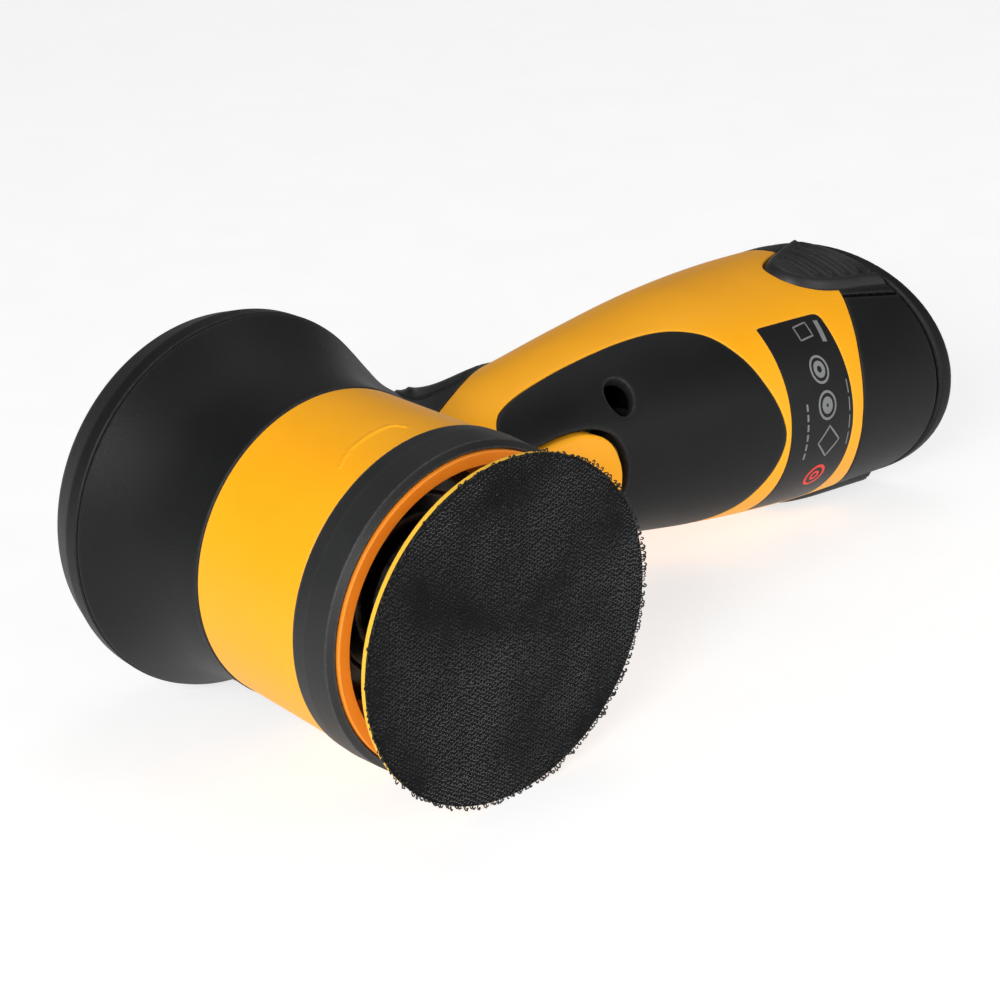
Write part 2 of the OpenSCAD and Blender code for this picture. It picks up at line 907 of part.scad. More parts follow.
module battery_case() {
    body_x = seam_x + 0.3;
    body_l = 40;
    cavity_r = stem_r - 1.5;
    skin_t = 2.5;
    color(BLACK) difference() {
        union() {
            on_handle() translate([0, 0, stem_x]) cylinder(h = body_x - stem_x + 1, r = stem_r, $fn = fine);
            difference() {
                on_handle() translate([0, 0, body_x]) cylinder(h = body_l, r = grip_r, $fn = fine);
                behind_tail(0);
            }
        }
        difference() {
            on_handle() translate([0, 0, stem_x + front_wall]) cylinder(h = 90, r = cavity_r, $fn = fine);
            behind_tail(-front_wall);
        }
        on_handle() difference() {
            translate([0, 0, body_x + 2]) cylinder(h = body_l, r = grip_r - skin_t, $fn = fine);
            cylinder(h = 300, r = stem_r + 1.2, $fn = fine);
        }
        for (s = terminals)
            translate([stem_x - 1, handle_y - 3.6, s - 0.9]) cube([front_wall + 2, 7.2, 1.8]);
        latch_pockets();
    }
}

module latch_pockets() {
    for (s = [-1, 1]) intersection() {
        translate([0, 0, s > 0 ? latch_floor : -latch_floor - big])
            linear_extrude(height = big) latch_outline(latch_gap);
        on_handle() translate([0, 0, 120]) cylinder(h = 80, r = grip_r + 5, $fn = fine);
    }
}

module latch_window() {
    for (s = [-1, 1])
        translate([0, 0, s > 0 ? 20 : -20 - big]) linear_extrude(height = big) latch_outline(latch_gap);
}

module battery_cells() {
    cell_r = 9.1;
    cell_l = 65;
    color([0.16, 0.42, 0.62]) on_handle() for (i = [0:2]) rotate([0, 0, 120 * i - 90])
        translate([cell_r / cos(30) + 0.1, 0, stem_x + front_wall + spacer_t + 0.1])
            cylinder(h = cell_l, r = cell_r, $fn = fine);
}

module cell_spacer() {
    color([0.85, 0.85, 0.8]) on_handle() translate([0, 0, stem_x + front_wall])
        cylinder(h = spacer_t, r = 20, $fn = fine);
}

module battery_tail_cap() {
    rim_bevel = 1;
    color(SOFT_BLACK) intersection() {
        behind_tail(0.05);
        difference() {
            on_handle() translate([0, 0, 150]) cylinder(h = 60, r = grip_r, $fn = fine);
            behind_tail(tail_l);
        }
        translate([tail_x + tail_l, handle_y, 0]) rotate([0, 0, atan(tail_slant)]) rotate([0, 90, 0])
            translate([0, 0, -60]) cylinder(h = 61, r1 = grip_r + 14, r2 = grip_r + 1 - rim_bevel, $fn = fine);
    }
}

// A latch button: it follows the handle's skin and stands slightly proud
module latch_body() {
    difference() {
        intersection() {
            translate([0, 0, latch_z]) linear_extrude(height = 20) latch_outline(0);
            on_handle() translate([0, 0, 120]) cylinder(h = 80, r = grip_r + latch_proud, $fn = fine);
        }
        behind_tail(-0.6);
    }
}

module latch_grooves() {
    groove_w = 1.2;
    for (i = [-2:2])
        translate([latch_front + 7, handle_y + i * rib_pitch - groove_w / 2, latch_z])
            cube([latch_back - latch_front - 11, groove_w, 20]);
}

module latch() {
    groove_depth = 0.7;
    color(SOFT_BLACK) difference() {
        latch_body();
        difference() {
            latch_grooves();
            on_handle() cylinder(h = 300, r = grip_r + latch_proud - groove_depth, $fn = fine);
        }
    }
}

module left_latch() { latch(); }
module right_latch() { mirror([0, 0, 1]) latch(); }

// Compression spring between the battery stem and a latch
module latch_spring() {
    spring_x = 162;
    spring_r = 2.6;
    wire = 0.4;
    coils = 4;
    z0 = latch_floor + 0.02;
    z1 = latch_z - 0.02;
    pitch = (z1 - z0 - 2 * wire) / (coils - 1);
    color(STEEL) for (i = [0:coils - 1]) translate([spring_x, handle_y, z0 + wire + i * pitch])
        rotate_extrude($fn = small) translate([spring_r, 0]) circle(r = wire, $fn = 24);
}

module left_latch_spring() { latch_spring(); }
module right_latch_spring() { mirror([0, 0, 1]) latch_spring(); }

hook_disc();
pad_foam();
backing_plate();
pad_stud();
output_spindle();
planet_pins();
planet_gear_a();
planet_gear_b();
planet_gear_c();
ring_gear();
sun_gear();
gearbox_housing();
spindle_bearing();
spindle_seal();
gearbox_screws();
motor_plate();
motor_can();
stator_core();
stator_windings();
rotor_core();
rotor_magnets();
motor_shaft();
motor_bearings();
rear_bracket();
cooling_fan();
motor_controller();
inner_skirt();
bumper_ring();
left_housing();
right_housing();
upper_shell();
top_cap();
left_grip();
right_grip();
label_plate();
keypad_panel();
power_button();
speed_up_button();
speed_down_button();
status_lens();
keypad_board();
trigger();
trigger_pin();
trigger_spring();
trigger_magnet();
trigger_board();
terminal_block();
battery_case();
battery_cells();
cell_spacer();
battery_tail_cap();
left_latch();
right_latch();
left_latch_spring();
right_latch_spring();
housing_screws();
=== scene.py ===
import math

import bmesh
import bpy
import numpy as np
from mathutils import Matrix, Vector


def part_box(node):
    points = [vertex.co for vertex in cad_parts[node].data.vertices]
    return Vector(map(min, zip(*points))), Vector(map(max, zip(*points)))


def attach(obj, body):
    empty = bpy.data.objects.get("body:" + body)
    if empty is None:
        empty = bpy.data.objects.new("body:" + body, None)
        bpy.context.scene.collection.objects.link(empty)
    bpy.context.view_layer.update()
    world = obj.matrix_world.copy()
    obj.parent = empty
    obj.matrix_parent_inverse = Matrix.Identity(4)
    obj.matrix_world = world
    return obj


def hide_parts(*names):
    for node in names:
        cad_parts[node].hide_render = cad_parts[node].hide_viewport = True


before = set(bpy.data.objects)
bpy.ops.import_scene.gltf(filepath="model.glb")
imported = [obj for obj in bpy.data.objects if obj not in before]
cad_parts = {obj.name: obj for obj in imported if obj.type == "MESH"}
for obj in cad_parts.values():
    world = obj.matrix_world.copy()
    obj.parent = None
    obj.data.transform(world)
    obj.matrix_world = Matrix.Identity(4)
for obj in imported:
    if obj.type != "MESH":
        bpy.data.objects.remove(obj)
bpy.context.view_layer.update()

random = np.random.default_rng(7)
MM = 0.001
HANDLE_Y = 73.6  # the handle's axis above the hook face, in millimetres

# ---------------------------------------------------------------- camera, light, floor


def matrix_from(right, up, forward, place):
    m = np.eye(4)
    m[:3, 0], m[:3, 1], m[:3, 2], m[:3, 3] = right, up, -np.array(forward), place
    return [list(r) for r in m]


# The camera's axes and place, in the CAD frame
CAMERA_RIGHT = (0.74092, -0.67136, 0.01747)
CAMERA_UP = (0.24364, 0.29294, 0.92457)
CAMERA_FORWARD = (0.62584, 0.68078, -0.38062)
CAMERA_PLACE = (-0.380729, -0.409585, 0.259646)

def make_camera():
    data = bpy.data.cameras.new("camera")
    data.lens, data.sensor_width, data.clip_end = 108, 36, 20
    cam = bpy.data.objects.new("camera", data)
    bpy.context.scene.collection.objects.link(cam)
    cam.matrix_world = Matrix(matrix_from(CAMERA_RIGHT, CAMERA_UP, CAMERA_FORWARD, CAMERA_PLACE))
    bpy.context.scene.camera = cam

make_camera()

CENTRE = Vector((0.05, 0.06, 0.0))  # what the lights point at
LIGHTS = {
    # name: (place, size in metres, power in watts)
    "key_light": ((-0.95, -0.5, 0.5), 0.5, 10.4),
    "fill_light": ((0.25, -1.1, 0.5), 0.7, 4.6),
    "side_light": ((-1.0, 0.1, 0.6), 0.6, 2.6),
    "top_light": ((0.45, 0.35, 1.2), 0.8, 2.0),
}
WORLD_LIGHT = 0.22

def area_light(name, place, size, power):
    data = bpy.data.lights.new(name, "AREA")
    data.shape, data.size, data.energy = "DISK", size, power
    lamp = bpy.data.objects.new(name, data)
    bpy.context.scene.collection.objects.link(lamp)
    lamp.location = place
    lamp.rotation_euler = (CENTRE - Vector(place)).to_track_quat("-Z", "Y").to_euler()

for name, light in LIGHTS.items():
    area_light(name, *light)

world = bpy.data.worlds.new("studio")
world.use_nodes = True
world.node_tree.nodes["Background"].inputs[0].default_value = (1, 1, 1, 1)
world.node_tree.nodes["Background"].inputs[1].default_value = WORLD_LIGHT
bpy.context.scene.world = world
bpy.context.scene.view_settings.view_transform = "Standard"

# ---------------------------------------------------------------- materials


def node(tree, kind, **values):
    n = tree.nodes.new(kind)
    for key, value in values.items():
        if key in n.inputs:
            n.inputs[key].default_value = value
        else:
            setattr(n, key, value)
    return n


def noise(tree, coord, scale, detail=3.0, roughness=0.5):
    n = node(tree, "ShaderNodeTexNoise", Scale=scale, Detail=detail, Roughness=roughness)
    tree.links.new(coord, n.inputs["Vector"])
    return n.outputs["Fac"]

def spread(tree, value, low, high, out_low, out_high):
    n = node(tree, "ShaderNodeMapRange")
    for k, v in zip((1, 2, 3, 4), (low, high, out_low, out_high)):
        n.inputs[k].default_value = v
    tree.links.new(value, n.inputs[0])
    return n.outputs[0]


def blend_colour(tree, factor, a, b):
    n = node(tree, "ShaderNodeMix", data_type="RGBA")
    for socket, c in ((n.inputs[6], a), (n.inputs[7], b)):
        if hasattr(c, "is_linked"):
            tree.links.new(c, socket)
        else:
            socket.default_value = (*c, 1)
    tree.links.new(factor, n.inputs[0])
    return n.outputs[2]


def add(tree, a, b, weight=1.0):
    n = node(tree, "ShaderNodeMath", operation="MULTIPLY_ADD")
    tree.links.new(b, n.inputs[0])
    n.inputs[1].default_value = weight
    tree.links.new(a, n.inputs[2])
    return n.outputs[0]


def finish_material(
    name, low, high, rough, grain=2400.0, grain_depth=0.00003, wave=None, rub_and_sheen=None, rub_and_sheen_amount=0.35,
    **sockets
):
    """A moulded or machined surface: two shades, uneven gloss, fine grain, and edges lightened partly as
    rubbing and partly as painted highlight.
    """
    m = bpy.data.materials.new(name)
    m.use_nodes = True
    t = m.node_tree
    shader = t.nodes["Principled BSDF"]
    for key, value in sockets.items():
        shader.inputs[key.replace("_", " ")].default_value = value
    coord = node(t, "ShaderNodeTexCoord").outputs["Object"]
    cloud = noise(t, coord, 45.0, 4.0)
    speck = noise(t, coord, grain * 0.35, 3.0, 0.6)
    colour = blend_colour(t, spread(t, cloud, 0.35, 0.65, 0, 1), low, high)
    # Edges get a lighter colour: partly real rubbing, partly a painted highlight along the edge.
    if rub_and_sheen:
        edge = node(t, "ShaderNodeAttribute", attribute_name="edge").outputs["Fac"]
        speckled_rub_and_sheen = node(t, "ShaderNodeMath", operation="MULTIPLY")
        t.links.new(edge, speckled_rub_and_sheen.inputs[0])
        t.links.new(spread(t, speck, 0.35, 0.7, 0.15, rub_and_sheen_amount), speckled_rub_and_sheen.inputs[1])
        colour = blend_colour(t, speckled_rub_and_sheen.outputs[0], colour, rub_and_sheen)
    t.links.new(colour, shader.inputs["Base Color"])
    gloss = add(t, spread(t, cloud, 0.3, 0.7, rough[0], rough[1]), speck, 0.08)
    t.links.new(gloss, shader.inputs["Roughness"])
    height = add(t, noise(t, coord, grain, 2.0, 0.55), speck, 0.6)
    if wave:
        height = add(t, height, wave(t, coord), 1.0)
    bump = node(t, "ShaderNodeBump", Strength=1.0, Distance=grain_depth)
    t.links.new(height, bump.inputs["Height"])
    t.links.new(bump.outputs[0], shader.inputs["Normal"])
    return m


def weave(t, coord):
    """Crossed threads at half a millimetre."""
    total = None
    for turn in (28, 118):
        turned = node(t, "ShaderNodeMapping")
        turned.inputs["Rotation"].default_value = (0, math.radians(turn), 0)
        t.links.new(coord, turned.inputs["Vector"])
        w = node(t, "ShaderNodeTexWave", Scale=620.0, Distortion=1.5, bands_direction="X")
        t.links.new(turned.outputs[0], w.inputs["Vector"])
        total = w.outputs["Fac"] if total is None else add(t, total, w.outputs["Fac"])
    return total


def brushed(t, coord):
    """Fine turning marks round the spindle axis."""
    stretched = node(t, "ShaderNodeMapping")
    stretched.inputs["Scale"].default_value = (1, 60, 1)
    t.links.new(coord, stretched.inputs["Vector"])
    return noise(t, stretched.outputs[0], 160.0, 2.0)


# The lighter edge colours below are partly rubbing and partly painted highlight.
M = {
    "yellow": finish_material(
        "yellow_plastic", (0.93, 0.395, 0.004), (0.98, 0.42, 0.006), (0.38, 0.45),
        2600, 0.000018, rub_and_sheen=(1.0, 0.55, 0.08), rub_and_sheen_amount=0.25, Specular_IOR_Level=0.25,
    ),
    # The skirt's yellow plastic with painted shade: darker and redder than the housing's yellow.
    "shaded_yellow": finish_material(
        "yellow_plastic_painted_shade", (0.82, 0.235, 0.014), (0.88, 0.265, 0.02), (0.38, 0.46),
        2600, 0.000018, rub_and_sheen=(1.0, 0.45, 0.1), Specular_IOR_Level=0.3,
    ),
    "soft": finish_material(
        "soft_grip_rubber", (0.0055, 0.0058, 0.0062), (0.0085, 0.0088, 0.0092),
        (0.4, 0.48), 3000, 0.00006, rub_and_sheen=(0.07, 0.07, 0.072), rub_and_sheen_amount=0.45, Specular_IOR_Level=0.18,
    ),
    "ring": finish_material(
        "bumper_rubber", (0.01, 0.0105, 0.011), (0.015, 0.0155, 0.016), (0.44, 0.52),
        3000, 0.00006, rub_and_sheen=(0.13, 0.13, 0.13), rub_and_sheen_amount=0.6, Specular_IOR_Level=0.34,
    ),
    "black": finish_material(
        "black_textured_plastic", (0.0055, 0.0058, 0.006), (0.0085, 0.0088, 0.009),
        (0.42, 0.5), 3200, 0.00006, rub_and_sheen=(0.06, 0.06, 0.06), Specular_IOR_Level=0.17,
    ),
    "latch": finish_material(
        "latch_plastic", (0.012, 0.0125, 0.013), (0.016, 0.0165, 0.017), (0.34, 0.42),
        3200, 0.00004, rub_and_sheen=(0.09, 0.09, 0.09), Specular_IOR_Level=0.36,
    ),
    # The hub's lighter edges are mostly a painted highlight, standing in for the light arcs on its steps.
    "gloss": finish_material(
        "glossy_black_hub", (0.005, 0.005, 0.0055), (0.008, 0.008, 0.0085), (0.12, 0.2),
        1500, 0.000006, rub_and_sheen=(0.2, 0.2, 0.2), rub_and_sheen_amount=0.8,
    ),
    "label": finish_material(
        "label_film", (0.008, 0.008, 0.0085), (0.011, 0.011, 0.0115), (0.34, 0.42),
        1800, 0.00001, Specular_IOR_Level=0.2,
    ),
    "print_grey": finish_material(
        "print_grey", (0.16, 0.165, 0.165), (0.2, 0.205, 0.205), (0.5, 0.6), 1800, 0.00001
    ),
    "print_red": finish_material(
        "print_red", (0.72, 0.03, 0.018), (0.8, 0.045, 0.025), (0.5, 0.6), 1800, 0.00001
    ),
    "hooks": finish_material(
        "hook_nylon", (0.003, 0.003, 0.0032), (0.12, 0.122, 0.125), (0.2, 0.32), 2600, 0.00001
    ),
    "rim_hooks": finish_material(
        "rim_hook_nylon", (0.003, 0.003, 0.0032), (0.007, 0.007, 0.0075), (0.5, 0.6), 2600, 0.00001
    ),
    "fabric": finish_material(
        "hook_backing_fabric", (0.004, 0.004, 0.0045), (0.008, 0.008, 0.0085),
        (0.75, 0.85), 2400, 0.00012, wave=weave, Specular_IOR_Level=0.2,
    ),
    "foam": finish_material(
        "pad_foam_yellow", (0.83, 0.45, 0.02), (0.92, 0.54, 0.035), (0.6, 0.7),
        1300, 0.00008,
    ),
    "steel": finish_material(
        "ground_steel", (0.42, 0.42, 0.43), (0.52, 0.52, 0.53), (0.24, 0.32),
        1200, 0.000008, wave=brushed, Metallic=1.0,
    ),
    "aluminium": finish_material(
        "cast_aluminium", (0.55, 0.56, 0.57), (0.63, 0.64, 0.65), (0.38, 0.48),
        1500, 0.00004, Metallic=1.0,
    ),
    "copper": finish_material(
        "enamelled_copper", (0.5, 0.19, 0.07), (0.6, 0.25, 0.1), (0.28, 0.36),
        1500, 0.00002, wave=brushed, Metallic=1.0,
    ),
    "brass": finish_material(
        "plated_brass", (0.62, 0.44, 0.18), (0.72, 0.53, 0.24), (0.22, 0.3),
        1500, 0.00001, Metallic=1.0,
    ),
    "board": finish_material(
        "solder_mask", (0.015, 0.12, 0.05), (0.022, 0.16, 0.07), (0.28, 0.38), 1500, 0.00001
    ),
    "sleeve": finish_material(
        "cell_sleeve", (0.035, 0.16, 0.33), (0.05, 0.2, 0.4), (0.22, 0.3), 900, 0.00001
    ),
    "paper": finish_material(
        "insulating_paper", (0.62, 0.62, 0.57), (0.7, 0.7, 0.64), (0.6, 0.7), 1800, 0.00003
    ),
    "lens": finish_material(
        "lens_clear", (0.7, 0.73, 0.76), (0.78, 0.8, 0.83), (0.12, 0.2), 900, 0.000005
    ),
    "floor": finish_material(
        "studio_floor", (0.36, 0.36, 0.36), (0.38, 0.38, 0.38), (0.6, 0.7), 300, 0.00003,
        Emission_Color=(1, 1, 1, 1), Emission_Strength=0.72,
    ),
}

NODE_FINISH = {
    "steel": "pad_stud output_spindle planet_pins planet_gear_a planet_gear_b planet_gear_c ring_gear "
    "sun_gear spindle_bearing gearbox_screws stator_core rotor_core motor_shaft motor_bearings "
    "trigger_pin trigger_spring trigger_magnet left_latch_spring right_latch_spring rotor_magnets",
    "aluminium": "motor_plate rear_bracket",
    "gloss": "spindle_seal cooling_fan",
    "black": "motor_can",
    "copper": "stator_windings",
    "brass": "terminal_block",
    "board": "motor_controller keypad_board trigger_board",
    "sleeve": "battery_cells",
    "paper": "cell_spacer",
}
for finish, names in NODE_FINISH.items():
    for name in names.split():
        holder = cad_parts[name]
        holder.data.materials.clear()
        holder.data.materials.append(M[finish])

# ---------------------------------------------------------------- making meshes


def make_object(name, points, faces, finish, edge=None, smooth=True, sharp=None):
    """An object from points in millimetres, with an optional 0 to 1 value a point that lightens edges, partly
    as rubbing and partly as painted highlight.
    """
    mesh = bpy.data.meshes.new(name)
    faces = [tuple(int(i) for i in f) for f in faces]
    mesh.from_pydata((np.asarray(points) * MM).tolist(), [], faces)
    if edge is not None:
        layer = mesh.attributes.new("edge", "FLOAT", "POINT")
        layer.data.foreach_set("value", np.asarray(edge, np.float32))
    mesh.validate()
    mesh.shade_smooth() if smooth else mesh.shade_flat()
    if sharp is not None:
        mesh.set_sharp_from_angle(angle=math.radians(sharp))
    mesh.materials.append(M[finish])
    piece = bpy.data.objects.new(name, mesh)
    bpy.context.scene.collection.objects.link(piece)
    return piece


def stand_for(piece, body, slot, *nodes):
    if nodes:
        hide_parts(*nodes)
    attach(piece, body)
    return piece


def rounded(corners, step=12):
    """A closed profile of (radius, y, fillet) corners with its corners turned to arcs."""
    out = []
    n = len(corners)
    for i in range(n):
        p = np.array(corners[i][:2], float)
        a = np.array(corners[i - 1][:2], float) - p
        b = np.array(corners[(i + 1) % n][:2], float) - p
        la, lb = np.linalg.norm(a), np.linalg.norm(b)
        fillet = corners[i][2] if len(corners[i]) > 2 else 0
        a, b = a / la, b / lb
        half = math.acos(np.clip(a @ b, -1, 1)) / 2
        if fillet <= 0 or half > math.radians(88):
            out.append(p)
            continue
        reach = min(fillet / math.tan(half), 0.45 * la, 0.45 * lb)
        r = reach * math.tan(half)
        centre = p + (a + b) / np.linalg.norm(a + b) * (r / math.sin(half))
        p0, p1 = p + a * reach, p + b * reach
        v0, v1 = p0 - centre, p1 - centre
        turn = math.acos(np.clip(v0 @ v1 / (r * r), -1, 1))
        count = max(2, int(math.degrees(turn) / step))
        side = np.sign(v0[0] * v1[1] - v0[1] * v1[0])
        for k in range(count + 1):
            c, s = math.cos(turn * k / count), math.sin(turn * k / count) * side
            out.append(centre + np.array([c * v0[0] - s * v0[1], s * v0[0] + c * v0[1]]))
    return np.array(out)


def held_corners(profile, near=0.3):
    """Adds a point on each side of a straight run's ends, so that the edges' rubbing and painted highlight
    stay at the edge.
    """
    out = []
    for a, b in zip(profile, np.roll(profile, -1, 0)):
        out.append(a)
        length = np.linalg.norm(b - a)
        if length > 4 * near:
            out += [a + (b - a) * near / length, b - (b - a) * near / length]
    return np.array(out)


def turned(name, profile, finish, place, steps, rub_and_sheen=None):
    """Turns a closed profile of (radius, distance). place puts the turned points in space."""
    turn = np.arange(steps) * 2 * math.pi / steps
    r, far = profile[:, 0][:, None], np.repeat(profile[:, 1][:, None], steps, 1)
    points = np.stack(place(r, far, np.cos(turn), np.sin(turn)), -1).reshape(-1, 3)
    n, i = len(profile), np.arange(steps)
    j = (i + 1) % steps
    rows = [(k * steps, (k + 1) % n * steps) for k in range(n)]
    faces = np.concatenate([np.stack([a + i, b + i, b + j, a + j], 1) for a, b in rows])
    edge = None if rub_and_sheen is None else np.repeat(rub_and_sheen(profile), steps)
    piece = make_object(name, points, faces, finish, edge, sharp=35)
    tidy_mesh(piece)
    return piece

def lathe(name, profile, finish, steps=192, rub_and_sheen=None, axis="head", stretch=lambda r: 1):
    """Turns a profile of (radius, distance) round the head's or the handle's axis."""

    def place(r, far, c, s):
        if axis == "head":
            return r * c, far, r * s
        return far, HANDLE_Y + r * c * stretch(r), r * s

    return turned(name, held_corners(np.asarray(profile, float)), finish, place, steps, rub_and_sheen)

def tidy_mesh(piece):
    """Merges points on the axis and makes the faces look outwards."""
    b = bmesh.new()
    b.from_mesh(piece.data)
    bmesh.ops.remove_doubles(b, verts=b.verts, dist=1e-6)
    bmesh.ops.recalc_face_normals(b, faces=b.faces)
    b.to_mesh(piece.data)
    b.free()


def corner_rub_and_sheen(profile):
    """1 where a profile turns sharply, 0 where it runs straight: the weight of the edge's rubbing and painted
    highlight.
    """
    p = np.asarray(profile)
    a = p - np.roll(p, 1, 0)
    b = np.roll(p, -1, 0) - p
    la, lb = np.linalg.norm(a, axis=1) + 1e-9, np.linalg.norm(b, axis=1) + 1e-9
    turn = np.arccos(np.clip((a * b).sum(1) / (la * lb), -1, 1))
    return np.clip(turn / math.radians(14), 0, 1) * (np.minimum(la, lb) < 1.2)


# ---------------------------------------------------------------- the outer skin
# Head and handle are one smooth solid. The parts are zones of its surface.

STATION_X = [0, 20, 45, 70, 95, 120, 145, 165, 200]
HALF_Z = [11.5, 14.2, 18.2, 21.9, 25.9, 29, 30.5, 30.6, 31.0]
Y_PER_Z = [1.05, 1.05, 1.06, 1.08, 1.09, 1.13, 1.165, 1.175, 1.175]
BAND_Y, WAIST_Y, CAP_Y = 26.3, 59.9, 92.4
TAIL_X = 174.9


def curve(x, xs, ys):
    xs, ys = np.asarray(xs, float), np.asarray(ys, float)
    m = np.gradient(ys, xs)
    x = np.clip(x, xs[0], xs[-1])
    i = np.clip(np.searchsorted(xs, x) - 1, 0, len(xs) - 2)
    h = xs[i + 1] - xs[i]
    t = (x - xs[i]) / h
    return (
        (2 * t**3 - 3 * t**2 + 1) * ys[i]
        + (t**3 - 2 * t**2 + t) * h * m[i]
        + (-2 * t**3 + 3 * t**2) * ys[i + 1]
        + (t**3 - t**2) * h * m[i + 1]
    )


def head_radius(y):
    t = np.clip((y - 60) / 32.4, 0, 1.0)
    flare = 35.6 + 8.5 * (1 - np.cos(np.pi / 2 * t)) ** 1.45
    band = 36.5 - 0.9 * np.clip((y - 26.2) / 33.8, 0, 1)
    return np.where(y > 60, flare, band)


def soft_min(a, b, k):
    h = np.clip(0.5 + 0.5 * (b - a) / k, 0, 1)
    return b + (a - b) * h - k * h * (1 - h)


def skin(p):
    x, y, z = p[:, 0], p[:, 1], p[:, 2]
    head = np.hypot(x, z) - head_radius(y)
    head = np.maximum(head, np.maximum(20 - y, y - 98))
    rz = curve(x, STATION_X, HALF_Z)
    ry = rz * curve(x, STATION_X, Y_PER_Z)
    u, w = (y - HANDLE_Y) / ry, z / rz
    g = np.sqrt(u * u + w * w) + 1e-9
    handle = (g - 1) * g / np.sqrt((u / ry) ** 2 + (w / rz) ** 2 + 1e-12)
    tail = (x - TAIL_X + 0.287 * (y - HANDLE_Y)) / 1.04
    handle = -soft_min(-np.maximum(handle, 8 - x), -tail, 2.4)
    return soft_min(head, handle, 18.0)


def slope(field, p, e=0.02):
    g = np.empty_like(p)
    for k in range(3):
        d = np.zeros(3)
        d[k] = e
        g[:, k] = (field(p + d) - field(p - d)) / (2 * e)
    return g


def settle(p, steps=2):
    for _ in range(steps):
        g = slope(skin, p)
        p = p - (skin(p) / (g * g).sum(1))[:, None] * g
    return p


def normals(p):
    g = slope(skin, p)
    return g / np.linalg.norm(g, axis=1, keepdims=True)


def surface_net(low, high, h):
    """Quads round the zero level of skin, one point in each grid cell that it crosses."""
    axes = [np.arange(a, b + h, h) for a, b in zip(low, high)]
    shape = [len(a) for a in axes]
    f = np.empty(shape)
    yz = np.stack(np.meshgrid(axes[1], axes[2], indexing="ij"), -1).reshape(-1, 2)
    for i, x in enumerate(axes[0]):
        p = np.column_stack([np.full(len(yz), x), yz])
        f[i] = skin(p).reshape(shape[1:])
    inside = f < 0
    corner = [(i, j, k) for i in (0, 1) for j in (0, 1) for k in (0, 1)]
    cells = [n - 1 for n in shape]
    count = sum(
        inside[i : i + cells[0], j : j + cells[1], k : k + cells[2]].astype(np.int8)
        for i, j, k in corner
    )
    at = np.argwhere((count > 0) & (count < 8))
    index = np.full(cells, -1)
    index[tuple(at.T)] = np.arange(len(at))
    values = np.stack([f[tuple((at + c).T)] for c in corner], 1)
    total, number = np.zeros((len(at), 3)), np.zeros(len(at))
    for a, ca in enumerate(corner):
        for b, cb in enumerate(corner):
            if sum(cb) - sum(ca) == 1 and sum(abs(np.subtract(ca, cb))) == 1:
                va, vb = values[:, a], values[:, b]
                cross = (va < 0) != (vb < 0)
                t = np.where(cross, va / np.where(cross, va - vb, 1), 0)[:, None]
                point = np.array(ca) + t * np.subtract(cb, ca)
                total += point * cross[:, None]
                number += cross
    points = (at + total / number[:, None]) * h + np.array(low)
    quads = []
    for axis in range(3):
        u, v = (axis + 1) % 3, (axis + 2) % 3
        step = np.zeros(3, int)
        step[axis] = 1
        first = inside[tuple(slice(0, n - s) for n, s in zip(shape, step))]
        second = inside[tuple(slice(s, n) for n, s in zip(shape, step))]
        for sign in (True, False):
            e = np.argwhere((first == sign) & (second != sign))
            keep = (e[:, u] > 0) & (e[:, v] > 0)
            keep &= (e[:, u] < cells[u]) & (e[:, v] < cells[v])
            e = e[keep]
            du, dv = np.zeros(3, int), np.zeros(3, int)
            du[u], dv[v] = 1, 1
            ring = [index[tuple((e - s).T)] for s in (0 * du, du, du + dv, dv)]
            quads.append(np.stack(ring if sign else ring[::-1], 1))
    return points, np.concatenate(quads)


def relaxed(points, quads, rounds=4):
    a = np.concatenate([quads[:, i] for i in range(4)])
    b = np.concatenate([quads[:, (i + 1) % 4] for i in range(4)])
    a, b = np.concatenate([a, b]), np.concatenate([b, a])
    number = np.bincount(a, minlength=len(points))[:, None]
    for _ in range(rounds):
        mean = np.stack(
            [np.bincount(a, points[b, k], len(points)) for k in range(3)], 1
        ) / np.maximum(number, 1)
        points = settle(0.4 * points + 0.6 * mean, 1)
    return settle(points, 2)


def angle_of(p):
    """Angle round the handle, from its underside, in degrees, 0 to 180."""
    return np.degrees(np.arctan2(np.abs(p[:, 2]), -(p[:, 1] - HANDLE_Y)))


def line_distance(q, line):
    """Distance of points from an open line."""
    best = np.full(len(q), 1e9)
    for p0, p1 in zip(line[:-1], line[1:]):
        d = p1 - p0
        t = np.clip(((q - p0) @ d) / (d @ d + 1e-12), 0, 1)
        best = np.minimum(best, np.hypot(*(q - p0 - t[:, None] * d).T))
    return best


def signed_distance(q, outline):
    """Distance of points from a closed outline, positive inside."""
    a = np.asarray(outline, float)
    b = np.roll(a, -1, 0)
    best = line_distance(q, np.vstack([a, a[:1]]))
    crossings = np.zeros(len(q), int)
    for p0, p1 in zip(a, b):
        d = p1 - p0
        spans = (p0[1] > q[:, 1]) != (p1[1] > q[:, 1])
        if d[1] != 0:
            crossings += spans & (q[:, 0] < p0[0] + (q[:, 1] - p0[1]) / d[1] * d[0])
    return np.where(crossings % 2 == 1, best, -best)


def through(points, per=6, closed=False):
    """A smooth line through points."""
    p = np.asarray(points, float)
    if closed:
        p = np.vstack([p[-1], p, p[0], p[1]])
    else:
        p = np.vstack([2 * p[0] - p[1], p, 2 * p[-1] - p[-2]])
    out = []
    for i in range(1, len(p) - 2):
        for k in range(per):
            t = k / per
            a, b, c, d = p[i - 1 : i + 3]
            bend = (2 * a - 5 * b + 4 * c - d) * t * t
            out.append(0.5 * (2 * b + (c - a) * t + bend + (3 * b - a - 3 * c + d) * t**3))
    if not closed:
        out.append(p[-2])
    return np.array(out)


ARC = 27 * math.pi / 180  # millimetres a degree, for outlines drawn round the handle

